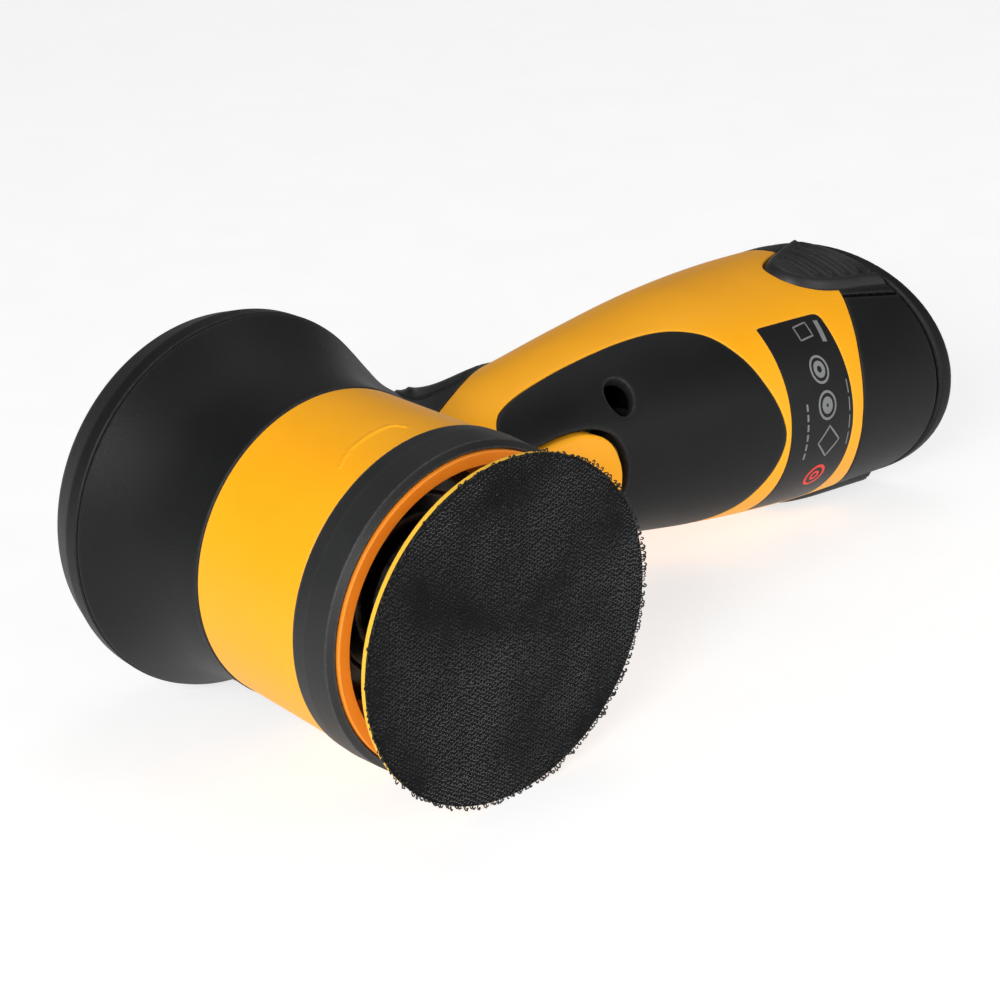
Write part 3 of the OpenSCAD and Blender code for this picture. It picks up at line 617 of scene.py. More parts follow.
WAIST_LINE = through(
    [(-70, WAIST_Y), (-30, WAIST_Y), (10, WAIST_Y), (24, 60.4), (34, 65.2), (44.6, 72.3),
     (51.3, 76.4), (57.1, 79.8), (66.7, 85.8), (77, 91.6), (89, 97.2), (99, 101.2), (105, 103.6)], 5
)
PANEL_LINE = through(
    [(30.5, 90), (31.2, 80), (33, 76.2), (37, 75.6), (42, 77.2), (47, 79.4), (52, 80.4), (58, 81)], 4
)
PANEL_AREA = np.vstack([PANEL_LINE, [(64, 78), (130, 100), (130, 130), (30.5, 130)]])
EMBOSS_LINE = through(
    [(-18.5, 33.1), (-16.2, 34.3), (-13.4, 35.1), (-8, 35.5), (-5, 35.1), (-2.7, 34.2), (-1.6, 31.7)], 4
)
SLOT_LINE = np.array([(159.5, 53.5), (165, 52.4), (175.6, 50.3)])
WAIST_AREA = np.vstack([WAIST_LINE, [(108.5, 106), (108.5, 130), (-70, 130)]])
GRIP_SIDE = [
    (47.9, 0), (48.2, 15), (48.8, 32), (50.0, 47), (52.2, 56.2), (54.8, 61), (58.9, 65.3),
    (65.2, 69), (74.5, 71.9), (84.6, 72.6), (93.5, 71.8), (100.7, 69.6), (105.5, 66.6),
    (109.5, 62.2), (112.9, 57), (115.3, 51.4), (117.6, 43.6), (119.8, 35.1), (121.7, 25.8),
    (123.6, 17), (125.1, 9), (125.9, 3), (126, 0)]
TRIGGER_SIDE = [
    (43.5, 0), (43.5, 6), (45, 8.2), (47.5, 8.9), (52, 9.2), (57.6, 9.7), (61.3, 10.4),
    (66, 11.1), (69.8, 11.2), (73.6, 10.2), (76.1, 8.2), (77.3, 5.3), (77.9, 2.4), (78, 0)]
LATCH_OUTLINE = [
    (147.2, 67), (147.6, 63.4), (149.2, 60.6), (151.6, 58.5), (155, 56.7), (160, 55.4),
    (167, 54.4), (184, 53.4), (184, 70), (184, 86), (174, 83), (166, 80.2), (159, 77.2), (153.5, 74.6),
    (149.8, 72.3), (147.9, 70)]


def middle_and_half(node):
    """Middle and half width of a CAD node along the handle, in millimetres."""
    low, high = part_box(node)
    return 500 * (low.x + high.x), 500 * (high.x - low.x)


KEYS = {name: middle_and_half(name) for name in ("power_button", "speed_down_button", "speed_up_button")}
SCREWS = [(83.3, 54.9), (50, 84), (112, 98), (140, 99.5)]
LENS_X = middle_and_half("status_lens")[0]
LENS_HALF, LENS_R = 4.4, 1.5  # half its straight length, and its ends' radius
RECESS_R = 3.5
TRIGGER_SWING = 2.2  # room behind the trigger's end
LINE_HALF = 0.45  # half width of the slot and of the raised line


def mirrored(side):
    return np.array(list(side) + [(x, -w) for x, w in side[::-1]][1:-1])


GRIP_AREA = through(mirrored([(x, a * ARC) for x, a in GRIP_SIDE]), 3, True)
TRIGGER_AREA = through(mirrored(TRIGGER_SIDE), 3, True)
LATCH_AREA = through(LATCH_OUTLINE, 3, True)
LABEL_AREA = [
    (127.4, -23.2), (145.6, -22.4), (147.3, -21), (147.5, 0), (147.3, 21), (146.7, 22),
    (145.6, 22.4), (127.4, 23.2), (127.5, 0)]


def unrolled(p):
    angle = np.degrees(np.arctan2(p[:, 2], -(p[:, 1] - HANDLE_Y)))
    return np.stack([p[:, 0], angle * ARC], 1)


def seam_x(p):
    """Where the housing ends and the battery's body starts, round the handle."""
    a = angle_of(p)
    return curve(
        a, [0, 13.6, 23, 32, 44, 52.6, 70, 92, 120, 180],
        [151.3, 151.9, 153.0, 154.7, 157.3, 159.2, 160.2, 160.2, 161.8, 161.4]
    )


def tail_joint_x(y):
    """The slanted joint between the battery's body and its end cap."""
    return 179.1 - 0.22 * (y - 37.5)


def windowed(function, x0, x1, condition=None):
    """A field that is only worked out between two X stations, and is far outside elsewhere."""

    def field(p):
        out = np.full(len(p), -50.0)
        near = (p[:, 0] >= x0) & (p[:, 0] <= x1)
        if condition is not None:
            near &= condition(p)
        if near.any():
            out[near] = function(p[near])
        return out

    return field

def on_top(p):
    return p[:, 1] > HANDLE_Y

def underneath(p):
    return p[:, 1] < HANDLE_Y - 5

def low_on_tail(p):
    return p[:, 1] < 62

def on_band(p):
    return (p[:, 2] > 15) & (p[:, 1] < 42)

def disc_field(cx, r):
    """Round outline seen along Y on the handle's top."""
    return windowed(lambda p: r - np.hypot(p[:, 0] - cx, p[:, 2]), cx - r - 8, cx + r + 8, on_top)

def hole_field(cx, cy):
    """Round outline seen along Z on the side with the screws."""

    def inside(p):
        return RECESS_R - np.hypot(p[:, 0] - cx, p[:, 1] - cy)

    return windowed(inside, cx - 12, cx + 12, lambda p: p[:, 2] > 0)

def lens_field(p):
    z = np.clip(p[:, 2], -LENS_HALF, LENS_HALF)
    return LENS_R - np.hypot(p[:, 0] - LENS_X, p[:, 2] - z)

def cap_field(p):
    """Below the cap's joint, or away from the head."""
    return np.maximum(CAP_Y - p[:, 1], np.hypot(p[:, 0], p[:, 2]) - 44.5)

def waist_field(p):
    return np.where(p[:, 0] > 108, -50, signed_distance(p[:, :2], WAIST_AREA))

def grip_field(p):
    return signed_distance(unrolled(p), GRIP_AREA)

def label_field(p):
    return signed_distance(unrolled(p), LABEL_AREA)

def trigger_field(p):
    return signed_distance(p[:, [0, 2]], TRIGGER_AREA)

def window_field(p):
    """The trigger's outline, with room behind its end for the swing."""
    return np.maximum(trigger_field(p), trigger_field(p - [TRIGGER_SWING, 0, 0]))

def latch_field(p):
    return signed_distance(p[:, :2], LATCH_AREA)

def panel_field(p):
    """The keypad's cover: above its line, and clear of the head's own surface."""
    off_head = np.hypot(p[:, 0], p[:, 2]) - head_radius(p[:, 1])
    return soft_min(signed_distance(p[:, :2], PANEL_AREA), (off_head - 4.2) * 1.5, 4.0)

def slot_field(p):
    return LINE_HALF - line_distance(p[:, :2], SLOT_LINE)

def slot_guide(p):
    return p[:, 1] - np.interp(p[:, 0], *SLOT_LINE.T)

def emboss_field(p):
    return LINE_HALF - line_distance(p[:, :2], EMBOSS_LINE)

def emboss_guide(p):
    return signed_distance(p[:, :2], np.vstack([EMBOSS_LINE, [(-8, 27)]]))

FIELDS = {
    # name: (field, gap inside, gap outside, rounding inside, rounding outside)
    "front": (lambda p: p[:, 1] - BAND_Y, 0.1, 0, 0.5, 0.5),
    "cap": (cap_field, 0.25, 0, 0.6, 0.5),
    "waist": (waist_field, 0.04, 0.04, 0.45, 0.35),
    "panel": (panel_field, 0.05, 0.05, 0.9, 0.3),
    "grip": (windowed(grip_field, 30, 145), 0.04, 0.04, 0.4, 0.35),
    "trigger": (windowed(trigger_field, 30, 95, underneath), 0.3, 0.15, 1.5, 0.45),
    "window": (windowed(window_field, 30, 97, underneath), 0.3, 0.3, 1.5, 0.45),
    "label": (windowed(label_field, 110, 165), 0.02, 0.03, 0.12, 0.12),
    "seam": (lambda p: p[:, 0] - seam_x(p), 0.12, 0.12, 0.45, 0.45),
    "groove": (lambda p: p[:, 0] - tail_joint_x(p[:, 1]), 0.9, 0.5, 1.1, 0.6),
    "latch": (windowed(latch_field, 135, 182, lambda p: np.abs(p[:, 2]) > 12), 0.22, 0.14, 1.2, 0.4),
    "slot": (windowed(slot_field, 150, 182, low_on_tail), 0, 0, 0.2, 0.35),
    "emboss": (windowed(emboss_field, -28, 8, on_band), 0, 0, 0.3, 0.3),
    "lens": (windowed(lens_field, 60, 82, on_top), 0.05, 0.05, 0.3, 0.3),
}
for name, (cx, r) in KEYS.items():
    FIELDS[name] = (disc_field(cx, r), 0.2, 0.15, 1.2, 0.4)
for i, (cx, cy) in enumerate(SCREWS):
    FIELDS[f"hole_{i}"] = (hole_field(cx, cy), 0, 0, 0.1, 0.5)
COLUMN = {name: i for i, name in enumerate(FIELDS)}

# Lines that edges follow before the fields are worked out, for narrow features
GUIDES = [windowed(slot_guide, 155, 180, low_on_tail), windowed(emboss_guide, -28, 8, on_band)]

def surface_scaled(field, p, n, value):
    """The field in millimetres along the surface, near its zero line."""
    near = np.abs(value) < 4
    q, m = p[near], n[near]
    g = slope(field, q, 0.03)
    g -= (g * m).sum(1)[:, None] * m
    size = np.clip(np.linalg.norm(g, axis=1), 0.25, 4)
    value = value.copy()
    value[near] /= size
    return value


def cut(p, faces, values, column, level, snap=0.035):
    """Splits the triangles that a level line crosses, so that edges run along it."""
    v = values[:, column] - level
    v[np.abs(v) < snap] = 0
    t = v[faces]
    crossed = (t.min(1) < 0) & (t.max(1) > 0)
    if not crossed.any():
        return p, faces, values
    keep, tri, t = faces[~crossed], faces[crossed], t[crossed]
    has_zero = (t == 0).any(1)
    sign = np.sign(t)
    lone = np.where(has_zero, np.argmin(np.abs(t), 1), np.argmax(sign != np.sign(sign.sum(1))[:, None], 1))
    order = (lone[:, None] + np.arange(3)) % 3
    tri = np.take_along_axis(tri, order, 1)
    a, b, c = tri.T
    pairs = np.concatenate(
        [np.stack([b, c], 1)[has_zero], np.stack([a, b], 1)[~has_zero], np.stack([a, c], 1)[~has_zero]]
    )
    pairs.sort(axis=1)
    unique, where = np.unique(pairs, axis=0, return_inverse=True)
    where = where.reshape(-1)
    i, j = unique.T
    share = (v[i] / (v[i] - v[j]))[:, None]
    new = len(p) + where
    p = np.vstack([p, p[i] + share * (p[j] - p[i])])
    values = np.vstack([values, values[i] + share * (values[j] - values[i])])
    values[len(values) - len(unique) :, column] = level
    nz, k = has_zero.sum(), (~has_zero).sum()
    m = new[:nz]
    m1, m2 = new[nz : nz + k], new[nz + k :]
    za, zb, zc = a[has_zero], b[has_zero], c[has_zero]
    oa, ob, oc = a[~has_zero], b[~has_zero], c[~has_zero]
    made = [(za, zb, m), (za, m, zc), (oa, m1, m2), (m1, ob, oc), (m1, oc, m2)]
    return p, np.vstack([keep] + [np.stack(x, 1) for x in made]), values


ROWS = (0.0, 0.1, 0.3, 0.6, 1.0)


def build_skin():
    h = 0.85
    points, quads = surface_net((-47.3, 19, -47.2), (188, 114, 47.2), h)
    keep = (points[:, 1] > 24) & (points[:, 1] < 96) | (points[:, 0] > 50)
    quads = quads[keep[quads].all(1)]
    points = relaxed(points, quads)
    d0 = np.linalg.norm(points[quads[:, 0]] - points[quads[:, 2]], axis=1)
    d1 = np.linalg.norm(points[quads[:, 1]] - points[quads[:, 3]], axis=1)
    short = (d0 < d1)[:, None]
    q = quads
    faces = np.vstack(
        [np.where(short, q[:, [0, 1, 2]], q[:, [0, 1, 3]]), np.where(short, q[:, [0, 2, 3]], q[:, [1, 2, 3]])]
    )
    guide = np.stack([g(points) for g in GUIDES], 1)
    for i in range(len(GUIDES)):
        points, faces, guide = cut(points, faces, guide, i, 0.0)
    n = normals(points)
    columns = []
    for field, *_ in FIELDS.values():
        columns.append(surface_scaled(field, points, n, field(points)))
    values = np.stack(columns, 1)
    for name, (_, gap_in, gap_out, round_in, round_out) in FIELDS.items():
        levels = [gap_in + round_in * r for r in ROWS] + [-gap_out - round_out * r for r in ROWS]
        for level in sorted(set(levels)):
            points, faces, values = cut(points, faces, values, COLUMN[name], level)
    points = settle(points, 1)
    return points, faces, values, normals(points)


POINTS, FACES, VALUES, NORMALS = build_skin()


def inner_distance(values, bounds):
    """How far points are inside a zone, and the rounding radius of its nearest edge."""
    best, radius = np.full(len(values), 1e9), np.full(len(values), 0.5)
    for name, sign in bounds:
        _, gap_in, gap_out, round_in, round_out = FIELDS[name]
        d = sign * values[:, COLUMN[name]] - (gap_in if sign > 0 else gap_out)
        r = round_in if sign > 0 else round_out
        closer = d / r < best / radius
        best, radius = np.where(closer, d, best), np.where(closer, r, radius)
    return best, radius


def refine(p, faces, values):
    """Splits every triangle into four."""
    e = np.concatenate([faces[:, [0, 1]], faces[:, [1, 2]], faces[:, [2, 0]]])
    e.sort(axis=1)
    unique, where = np.unique(e, axis=0, return_inverse=True)
    where = where.reshape(-1)
    ab, bc, ca = (where.reshape(3, -1) + len(p))
    a, b, c = faces.T
    p = np.vstack([p, p[unique].mean(1)])
    values = np.vstack([values, values[unique].mean(1)])
    faces = np.vstack([np.stack(x, 1) for x in ((a, ab, ca), (ab, b, bc), (ca, bc, c), (ab, bc, ca))])
    return p, faces, values


def zone(name, bounds, finish, depth=2.0, lift=None, fine=0, where=None, drop=1.0, ends=()):
    """A piece from the part of the skin inside every bound, with rounded edges and a wall."""
    centre = VALUES[FACES].mean(1)
    best, _ = inner_distance(centre, list(bounds) + list(ends))
    take = best > 0
    if where is not None:
        take &= where(POINTS[FACES].mean(1))
    used, local = np.unique(FACES[take], return_inverse=True)
    faces = local.reshape(-1, 3)
    p, values = POINTS[used], VALUES[used]
    for _ in range(fine):
        p, faces, values = refine(p, faces, values)
    if fine:
        p = settle(p, 1)
        n = normals(p)
    else:
        n = NORMALS[used]
    d, r = inner_distance(values, bounds)
    d = np.clip(d, 0, None)
    inner = np.clip(r - d, 0, None)
    sunk = drop * (r - np.sqrt(np.clip(r * r - inner * inner, 0, None)))
    height = -sunk
    if lift is not None:
        height = height + lift(p, values, d)
    top = p + n * height[:, None]
    # Points near a zone's edge get a lighter colour: partly rubbing, partly painted highlight.
    rub_and_sheen_weight = np.exp(-((d / 0.45) ** 2))
    inward = -n
    at_trigger = np.abs(values[:, COLUMN["window"]]) < 2.5
    inward[at_trigger] = (0, 1, 0)
    at_latch = np.abs(values[:, COLUMN["latch"]]) < 1.5
    inward[at_latch] = np.sign(p[at_latch, 2])[:, None] * np.array([0, 0, -1])
    top, faces, rub_and_sheen_weight = with_wall(top, inward, faces, rub_and_sheen_weight, depth)
    return make_object(name, top, faces, finish, rub_and_sheen_weight)


def with_wall(p, inward, faces, rub_and_sheen_weight, depth):
    """Adds a wall of that depth round the open edges of a sheet."""
    e = np.concatenate([faces[:, [0, 1]], faces[:, [1, 2]], faces[:, [2, 0]]])
    key = np.sort(e, 1)
    _, first, count = np.unique(key, axis=0, return_index=True, return_counts=True)
    rim = e[first[count == 1]]
    ids, local = np.unique(rim, return_inverse=True)
    local = local.reshape(-1, 2)
    k, m = len(p), len(ids)
    low = p[ids] + inward[ids] * depth
    i, j = local.T
    wall = np.stack([k + j, k + i, k + m + i, k + m + j], 1)
    tri = np.vstack([wall[:, [0, 1, 2]], wall[:, [0, 2, 3]]])
    p = np.vstack([p, p[ids], low])
    return p, np.vstack([faces, tri]), np.concatenate([rub_and_sheen_weight, rub_and_sheen_weight[ids], np.zeros(m)])


def smooth_step(x):
    x = np.clip(x, 0, 1)
    return x * x * (3 - 2 * x)


holes = [(f"hole_{i}", -1) for i in range(len(SCREWS))]
keys = [(name, -1) for name in KEYS]

HOUSING_EDGES = [("front", 1)]
HOUSING_EDGES += [(name, -1) for name in ("waist", "grip", "window", "label", "seam", "latch")]

def emboss_lift(p, values, d):
    """The raised line on the head's band."""
    return 0.22 * smooth_step((values[:, COLUMN["emboss"]] + 0.3) / 0.6)

# Yellow housing
housing = zone("housing_shell", HOUSING_EDGES + holes, "yellow", 2.6, emboss_lift, ends=(("cap", 1),))
stand_for(housing, "body", "yellow_shell", "left_housing", "right_housing")

# Black waist that turns into the collar of the neck
collar = zone(
    "waist_shell", [("waist", 1), ("cap", 1), ("panel", -1)] + holes, "soft", 2.0, lambda p, v,
    d: 0.22 * np.exp(-((v[:, COLUMN["waist"]] - 0.5) / 0.45) ** 2)
)
stand_for(collar, "body", "soft_grip", "upper_shell")


def cover_rise(x):
    """How far the keypad's cover stands off the handle, less at its front and its rear."""
    return (1.9 - 0.9 * smooth_step((x - 50) / 18)) * (0.3 + 0.7 * smooth_step((x - 31) / 12))

def panel_lift(p, values, d):
    """The cover's front edge rises gently out of the neck, and its sides steeply."""
    along = smooth_step((values[:, COLUMN["panel"]] + 0.5) / 7)
    return cover_rise(p[:, 0]) * np.minimum(smooth_step(d / 1.6), 0.25 + 0.75 * along)

# Raised keypad panel on top of the handle
panel = zone("keypad_panel_skin", [("waist", 1), ("panel", 1), ("lens", -1)] + keys, "soft", 2.6, panel_lift)
stand_for(panel, "body", "soft_grip", "keypad_panel")

grip = zone(
    "soft_grip_sleeve", [("grip", 1), ("window", -1)] + holes, "soft", 2.6, lambda p, v,
    d: 0.12 * smooth_step(d / 1.5)
)
stand_for(grip, "body", "soft_grip", "left_grip", "right_grip")

label = zone("label_film_plate", [("label", 1)], "label", 0.6, lambda p, v, d: 0.05)
stand_for(label, "body", "label", "label_plate")


def trigger_lift(p, values, d):
    rise = curve(p[:, 0], [43, 50, 58, 66, 73, 78], [-0.2, 0.0, 0.5, 1.3, 2.3, 2.9])
    return rise * smooth_step(d / 1.2 + 0.35)


trigger = zone("trigger_lever", [("trigger", 1)], "yellow", 4.2, trigger_lift, fine=1, drop=0.8)
stand_for(trigger, "trigger", "yellow_shell", "trigger")

battery = zone("battery_body", [("seam", 1), ("groove", -1), ("latch", -1), ("slot", -1)], "black", 2.4)
stand_for(battery, "battery", "black_shell", "battery_case")
tail = zone("battery_end_cap", [("groove", 1)], "black", 1.6)
stand_for(tail, "battery", "soft_grip", "battery_tail_cap")


def latch_lift(p, values, d):
    """A bevelled rim round a sunken thumb pad with ribs across it."""
    rim = 1.5 * smooth_step(d / 2.2)
    pad = smooth_step((d - 2.5) / 1.3) * smooth_step((p[:, 0] - 152.5) / 1.5)
    phase = (p[:, 0] - 157) / 4.0
    rib = np.exp(-(((phase - np.round(phase)) * 4.0 / 0.75) ** 2)) * smooth_step((d - 3.2) / 1.0)
    return rim + pad * (0.9 * rib - 1.0)


for side, sign in (("left_latch", 1), ("right_latch", -1)):
    latch = zone(
        side + "_button", [("latch", 1), ("groove", -1)], "latch", 2.8, latch_lift, fine=1,
        where=lambda c, s=sign: c[:, 2] * s > 0
    )
    stand_for(latch, side, "black_shell", side)

for name in KEYS:
    key = zone(
        name + "_cap", [(name, 1)], "soft", 3.0, lambda p, v,
        d: cover_rise(p[:, 0]) + 0.75 - 0.35 * smooth_step((d - 1.6) / 2.5), fine=1
    )
    stand_for(key, name, "soft_grip", name)
lens = zone("status_lens_bar", [("lens", 1)], "lens", 2.0, lambda p, v, d: cover_rise(p[:, 0]) - 0.05, fine=1)
stand_for(lens, "body", "lens", "status_lens")

# ---------------------------------------------------------------- turned pieces of the head

cap_profile = rounded(
    [(0, 112), (22, 111.3, 6), (34, 109.4, 5), (41.4, 103.6, 5), (43.9, 96.5, 3), (44.1, 92.55, 0.45),
     (41.5, 92.55), (41, 100), (33, 106.5), (0, 109)], 6
)
cap = lathe("motor_cap", cap_profile, "soft", rub_and_sheen=corner_rub_and_sheen)
stand_for(cap, "body", "soft_grip", "top_cap")

ring_profile = rounded(
    [(35.4, 26.15), (37.1, 26.15, 0.7), (37.35, 22, 2), (37.1, 15.3, 0.35),
     (35.75, 13.75, 0.25), (35.4, 14.1)], 8
)
ring = lathe("bumper_ring_rubber", ring_profile, "ring", rub_and_sheen=corner_rub_and_sheen)
stand_for(ring, "body", "soft_grip", "bumper_ring")

# The skirt is yellow plastic, painted darker and redder as shade.
skirt_profile = rounded(
    [(35.25, 26), (35.25, 13.1, 0.25), (32.4, 13.1, 0.25), (32.1, 17, 1),
     (31.0, 26, 1), (30.8, 33.9, 0.5), (27.1, 33.9), (27.1, 35.8), (33.2, 35.8), (33.2, 26)], 10
)
skirt = lathe("inner_skirt_shell", skirt_profile, "shaded_yellow", rub_and_sheen=corner_rub_and_sheen)
stand_for(skirt, "body", "orange_skirt", "inner_skirt")

gearbox_profile = rounded(
    [(12.9, 20), (14.6, 20, 0.3), (16, 21.4, 0.4), (16, 23.5, 0.2), (15.4, 24, 0.2),
     (15.4, 25, 0.2), (16, 25.5, 0.2), (16, 30.4, 1.0), (20.5, 31.2, 0.5), (20.9, 32.4, 0.4),
     (24.2, 32.6, 0.5), (24.6, 33.4, 0.3), (26.9, 33.8, 0.5), (27, 50), (24, 50), (24, 41),
     (20.5, 41), (20.5, 35), (11, 35), (11, 31), (13, 31), (13, 24), (10.2, 24), (10.2, 20)], 12
)
gearbox = lathe("gearbox_nose", gearbox_profile, "gloss", rub_and_sheen=corner_rub_and_sheen)
stand_for(gearbox, "body", "aluminium", "gearbox_housing")

# ---------------------------------------------------------------- the pad

plate_profile = rounded(
    [(4.02, 9.05), (30, 9.05, 0.2), (30, 10.4, 0.6), (28.6, 11.3, 0.5), (24.5, 11.5, 0.3),
     (24.2, 12.5, 0.3), (22.6, 12.5, 0.3), (22.3, 11.5, 0.2), (17.4, 11.5, 0.2), (17.1, 13.2, 0.4),
     (15.2, 13.2, 0.4), (14.9, 11.6, 0.2), (9.6, 11.8, 0.8), (8, 14.2, 0.8), (8, 17.95, 0.4),
     (4.02, 17.95)], 12
)
plate = lathe("backing_plate_turned", plate_profile, "gloss", rub_and_sheen=corner_rub_and_sheen)
stand_for(plate, "spindle", "black_shell", "backing_plate")

foam_profile = rounded(
    [(0, 1.4), (38.2, 1.4, 0.2), (38.3, 2.5, 0.3), (31.2, 8.6, 1.0), (30.2, 9.0, 0.3), (0, 9.0)], 10
)
foam = lathe("pad_foam_layer", foam_profile, "foam", steps=256)
stand_for(foam, "spindle", "pad_foam", "pad_foam")

disc_profile = rounded([(0, 0.72), (38.35, 0.72, 0.25), (38.45, 1.36, 0.2), (0, 1.36)], 15)
disc = lathe("hook_backing", disc_profile, "fabric", steps=256)
stand_for(disc, "spindle", "hook_fabric", "hook_disc")


def hooks(name, places, lean, scale, finish, wire=0.08):
    """Small bent threads. Each place is (x, z, heading), and lean tips a hook sideways."""
    path = np.array([(-0.2, 0), (-0.24, 0.34), (-0.12, 0.62), (0.1, 0.7), (0.27, 0.56), (0.29, 0.36)])
    along = np.gradient(path, axis=0)
    along /= np.linalg.norm(along, axis=1, keepdims=True)
    across = np.stack([-along[:, 1], along[:, 0]], 1)
    sides = 4
    turn = np.arange(sides) * 2 * math.pi / sides
    ring = path[:, None, :] + wire * np.cos(turn)[None, :, None] * across[:, None, :]
    depth = np.broadcast_to(wire * np.sin(turn), ring.shape[:2])
    local = np.concatenate([ring, depth[..., None]], -1).reshape(-1, 3)
    n = len(places)
    size = scale[:, None]
    u, h, w = (local[:, k][None, :] * size for k in range(3))
    tip = np.radians(lean)[:, None]
    side = w * np.cos(tip) + h * np.sin(tip)
    rise = h * np.cos(tip) - w * np.sin(tip)
    heading = places[:, 2][:, None]
    x = places[:, 0][:, None] + u * np.cos(heading) - side * np.sin(heading)
    z = places[:, 1][:, None] + u * np.sin(heading) + side * np.cos(heading)
    y = 0.85 - np.clip(rise, -0.05, 0.84)
    points = np.stack([x, y, z], -1).reshape(-1, 3)
    k = len(path)
    quads = []
    for i in range(k - 1):
        for j in range(sides):
            a, b = i * sides + j, i * sides + (j + 1) % sides
            quads.append((a, b, b + sides, a + sides))
    quads.append(tuple(range(sides))[::-1])
    quads.append(tuple((k - 1) * sides + j for j in range(sides)))
    quads = np.array(quads)
    faces = (quads[None] + (np.arange(n) * k * sides)[:, None, None]).reshape(-1, 4)
    return make_object(name, points, faces, finish)


def hook_places():
    pitch, reach = 0.9, 37.9
    count = int(reach / pitch) + 2
    rows = []
    for i in range(-count, count + 1):
        for j in range(-count, count + 1):
            rows.append(((j + 0.5 * (i % 2)) * pitch, i * pitch * 0.94))
    p = np.array(rows)
    turn = math.radians(28)
    x = p[:, 0] * math.cos(turn) - p[:, 1] * math.sin(turn)
    z = p[:, 0] * math.sin(turn) + p[:, 1] * math.cos(turn)
    near = np.hypot(x, z) < reach
    x, z = x[near], z[near]
    x = x + random.normal(0, 0.05, len(x))
    z = z + random.normal(0, 0.05, len(z))
    return np.stack([x, z, turn + random.normal(0, 0.3, len(x))], 1)


places = hook_places()
lean = random.normal(0, 14, len(places))
scale = random.uniform(0.72, 1.0, len(places))
hook_field = hooks("hook_threads", places, lean, scale, "hooks")
stand_for(hook_field, "spindle", "hook_fabric")

RIM_HOOKS = 330
turn = np.arange(RIM_HOOKS) * 2 * math.pi / RIM_HOOKS + random.normal(0, 0.006, RIM_HOOKS)
rim_r = 38.15 + random.normal(0, 0.12, RIM_HOOKS)
heading = turn + math.pi / 2 + random.normal(0, 0.5, RIM_HOOKS)
rim_places = np.stack([rim_r * np.cos(turn), rim_r * np.sin(turn), heading], 1)
lean = -random.uniform(20, 85, RIM_HOOKS)
scale = random.uniform(0.9, 1.5, RIM_HOOKS)
rim = hooks("hook_rim_threads", rim_places, lean, scale, "rim_hooks", 0.13)
stand_for(rim, "spindle", "hook_fabric")

# ---------------------------------------------------------------- inside the handle


def oval(r):
    """The flanges reach out along Y and stay narrow along Z, where the latches are."""
    return 1 + 0.38 * smooth_step((r - 22.6) / 1.0)


stem_profile = rounded(
    [(0, 97.5), (22.5, 97.5, 1.0), (22.5, 161.2, 0.5), (23.6, 161.2, 0.3), (23.6, 163), (21, 163),
     (21, 99), (0, 99)], 12
)
stem = lathe("battery_stem", stem_profile, "black", axis="handle", stretch=oval, rub_and_sheen=corner_rub_and_sheen)
stand_for(stem, "battery", "black_shell", "battery_case")

# A core across the tail joint, so that no light shows through it
CORE_R = 21.5
CORE_SIDES = 64
CORE_REACH = (-4.0, 3.5)  # ahead of the joint and behind it
core_turn = np.arange(CORE_SIDES) * 2 * math.pi / CORE_SIDES
core_y = HANDLE_Y + CORE_R * np.cos(core_turn)
core_z = CORE_R * np.sin(core_turn)
core_ends = [np.stack([tail_joint_x(core_y) + reach, core_y, core_z], 1) for reach in CORE_REACH]
core_i = np.arange(CORE_SIDES)
core_j = (core_i + 1) % CORE_SIDES
core_faces = np.stack([core_i, core_j, CORE_SIDES + core_j, CORE_SIDES + core_i], 1).tolist()
core_faces += [core_i[::-1].tolist(), (CORE_SIDES + core_i).tolist()]
core = make_object("battery_core", np.concatenate(core_ends), core_faces, "black", smooth=False)
tidy_mesh(core)
stand_for(core, "battery", "black_shell", "battery_case")

liner_profile = rounded(
    [(22.8, 98), (23.7, 98, 0.3), (23.7, 141, 0.2), (24.4, 141, 0.2), (24.4, 146.8, 0.3),
     (22.8, 146.8, 0.3)], 12
)
liner = lathe(
    "battery_socket", liner_profile, "black", axis="handle", rub_and_sheen=corner_rub_and_sheen,
    stretch=lambda r: 1 + 0.24 * smooth_step((r - 23.75) / 0.6)
)
stand_for(liner, "body", "black_shell", "left_housing", "right_housing")

# ---------------------------------------------------------------- screws in their recesses


def along_z(name, profile, finish, cx, cy, top):
    """Turns a profile of (radius, depth below the top) round a line along Z."""

    def place(r, depth, c, s):
        return cx + r * c, cy + r * s, top - depth

    return turned(name, profile, finish, place, 48)

def skin_z(cx, cy):
    """Height of the skin above the middle plane at a side-view place."""
    z = np.linspace(5, 40, 400)
    f = skin(np.column_stack([np.full(400, cx), np.full(400, cy), z]))
    return float(z[np.argmax(f > 0)]) if (f > 0).any() and f[0] < 0 else 20.0


for i, (cx, cy) in enumerate(SCREWS):
    around = np.arange(12) * math.pi / 6
    top = min(skin_z(cx + RECESS_R * math.cos(a), cy + RECESS_R * math.sin(a)) for a in around) - 0.7
    floor_z = max(top - 8.5, 7.2)
    deep = top - floor_z
    tube = [
        (RECESS_R + 0.02, 0.0), (RECESS_R + 0.8, 0.4), (RECESS_R + 0.8, deep + 0.8),
        (0, deep + 0.8), (0, deep), (RECESS_R - 0.15, deep)]
    lining = along_z(f"screw_recess_{i}", rounded(tube, 12), "soft", cx, cy, top)
    stand_for(lining, "body", "soft_grip", "left_housing", "right_housing")
    head = rounded(
        [(0, deep - 0.9), (1.25, deep - 0.9, 0), (1.3, deep - 2.0, 0.1), (2.2, deep - 2.0, 0.35),
         (2.6, deep - 1.2, 0.4), (2.6, deep - 0.02), (0, deep - 0.02)], 12
    )
    bolt = along_z(f"screw_head_{i}", head, "steel", cx, cy, top)
    stand_for(bolt, "body", "steel")

# ---------------------------------------------------------------- marks on the label and the keys


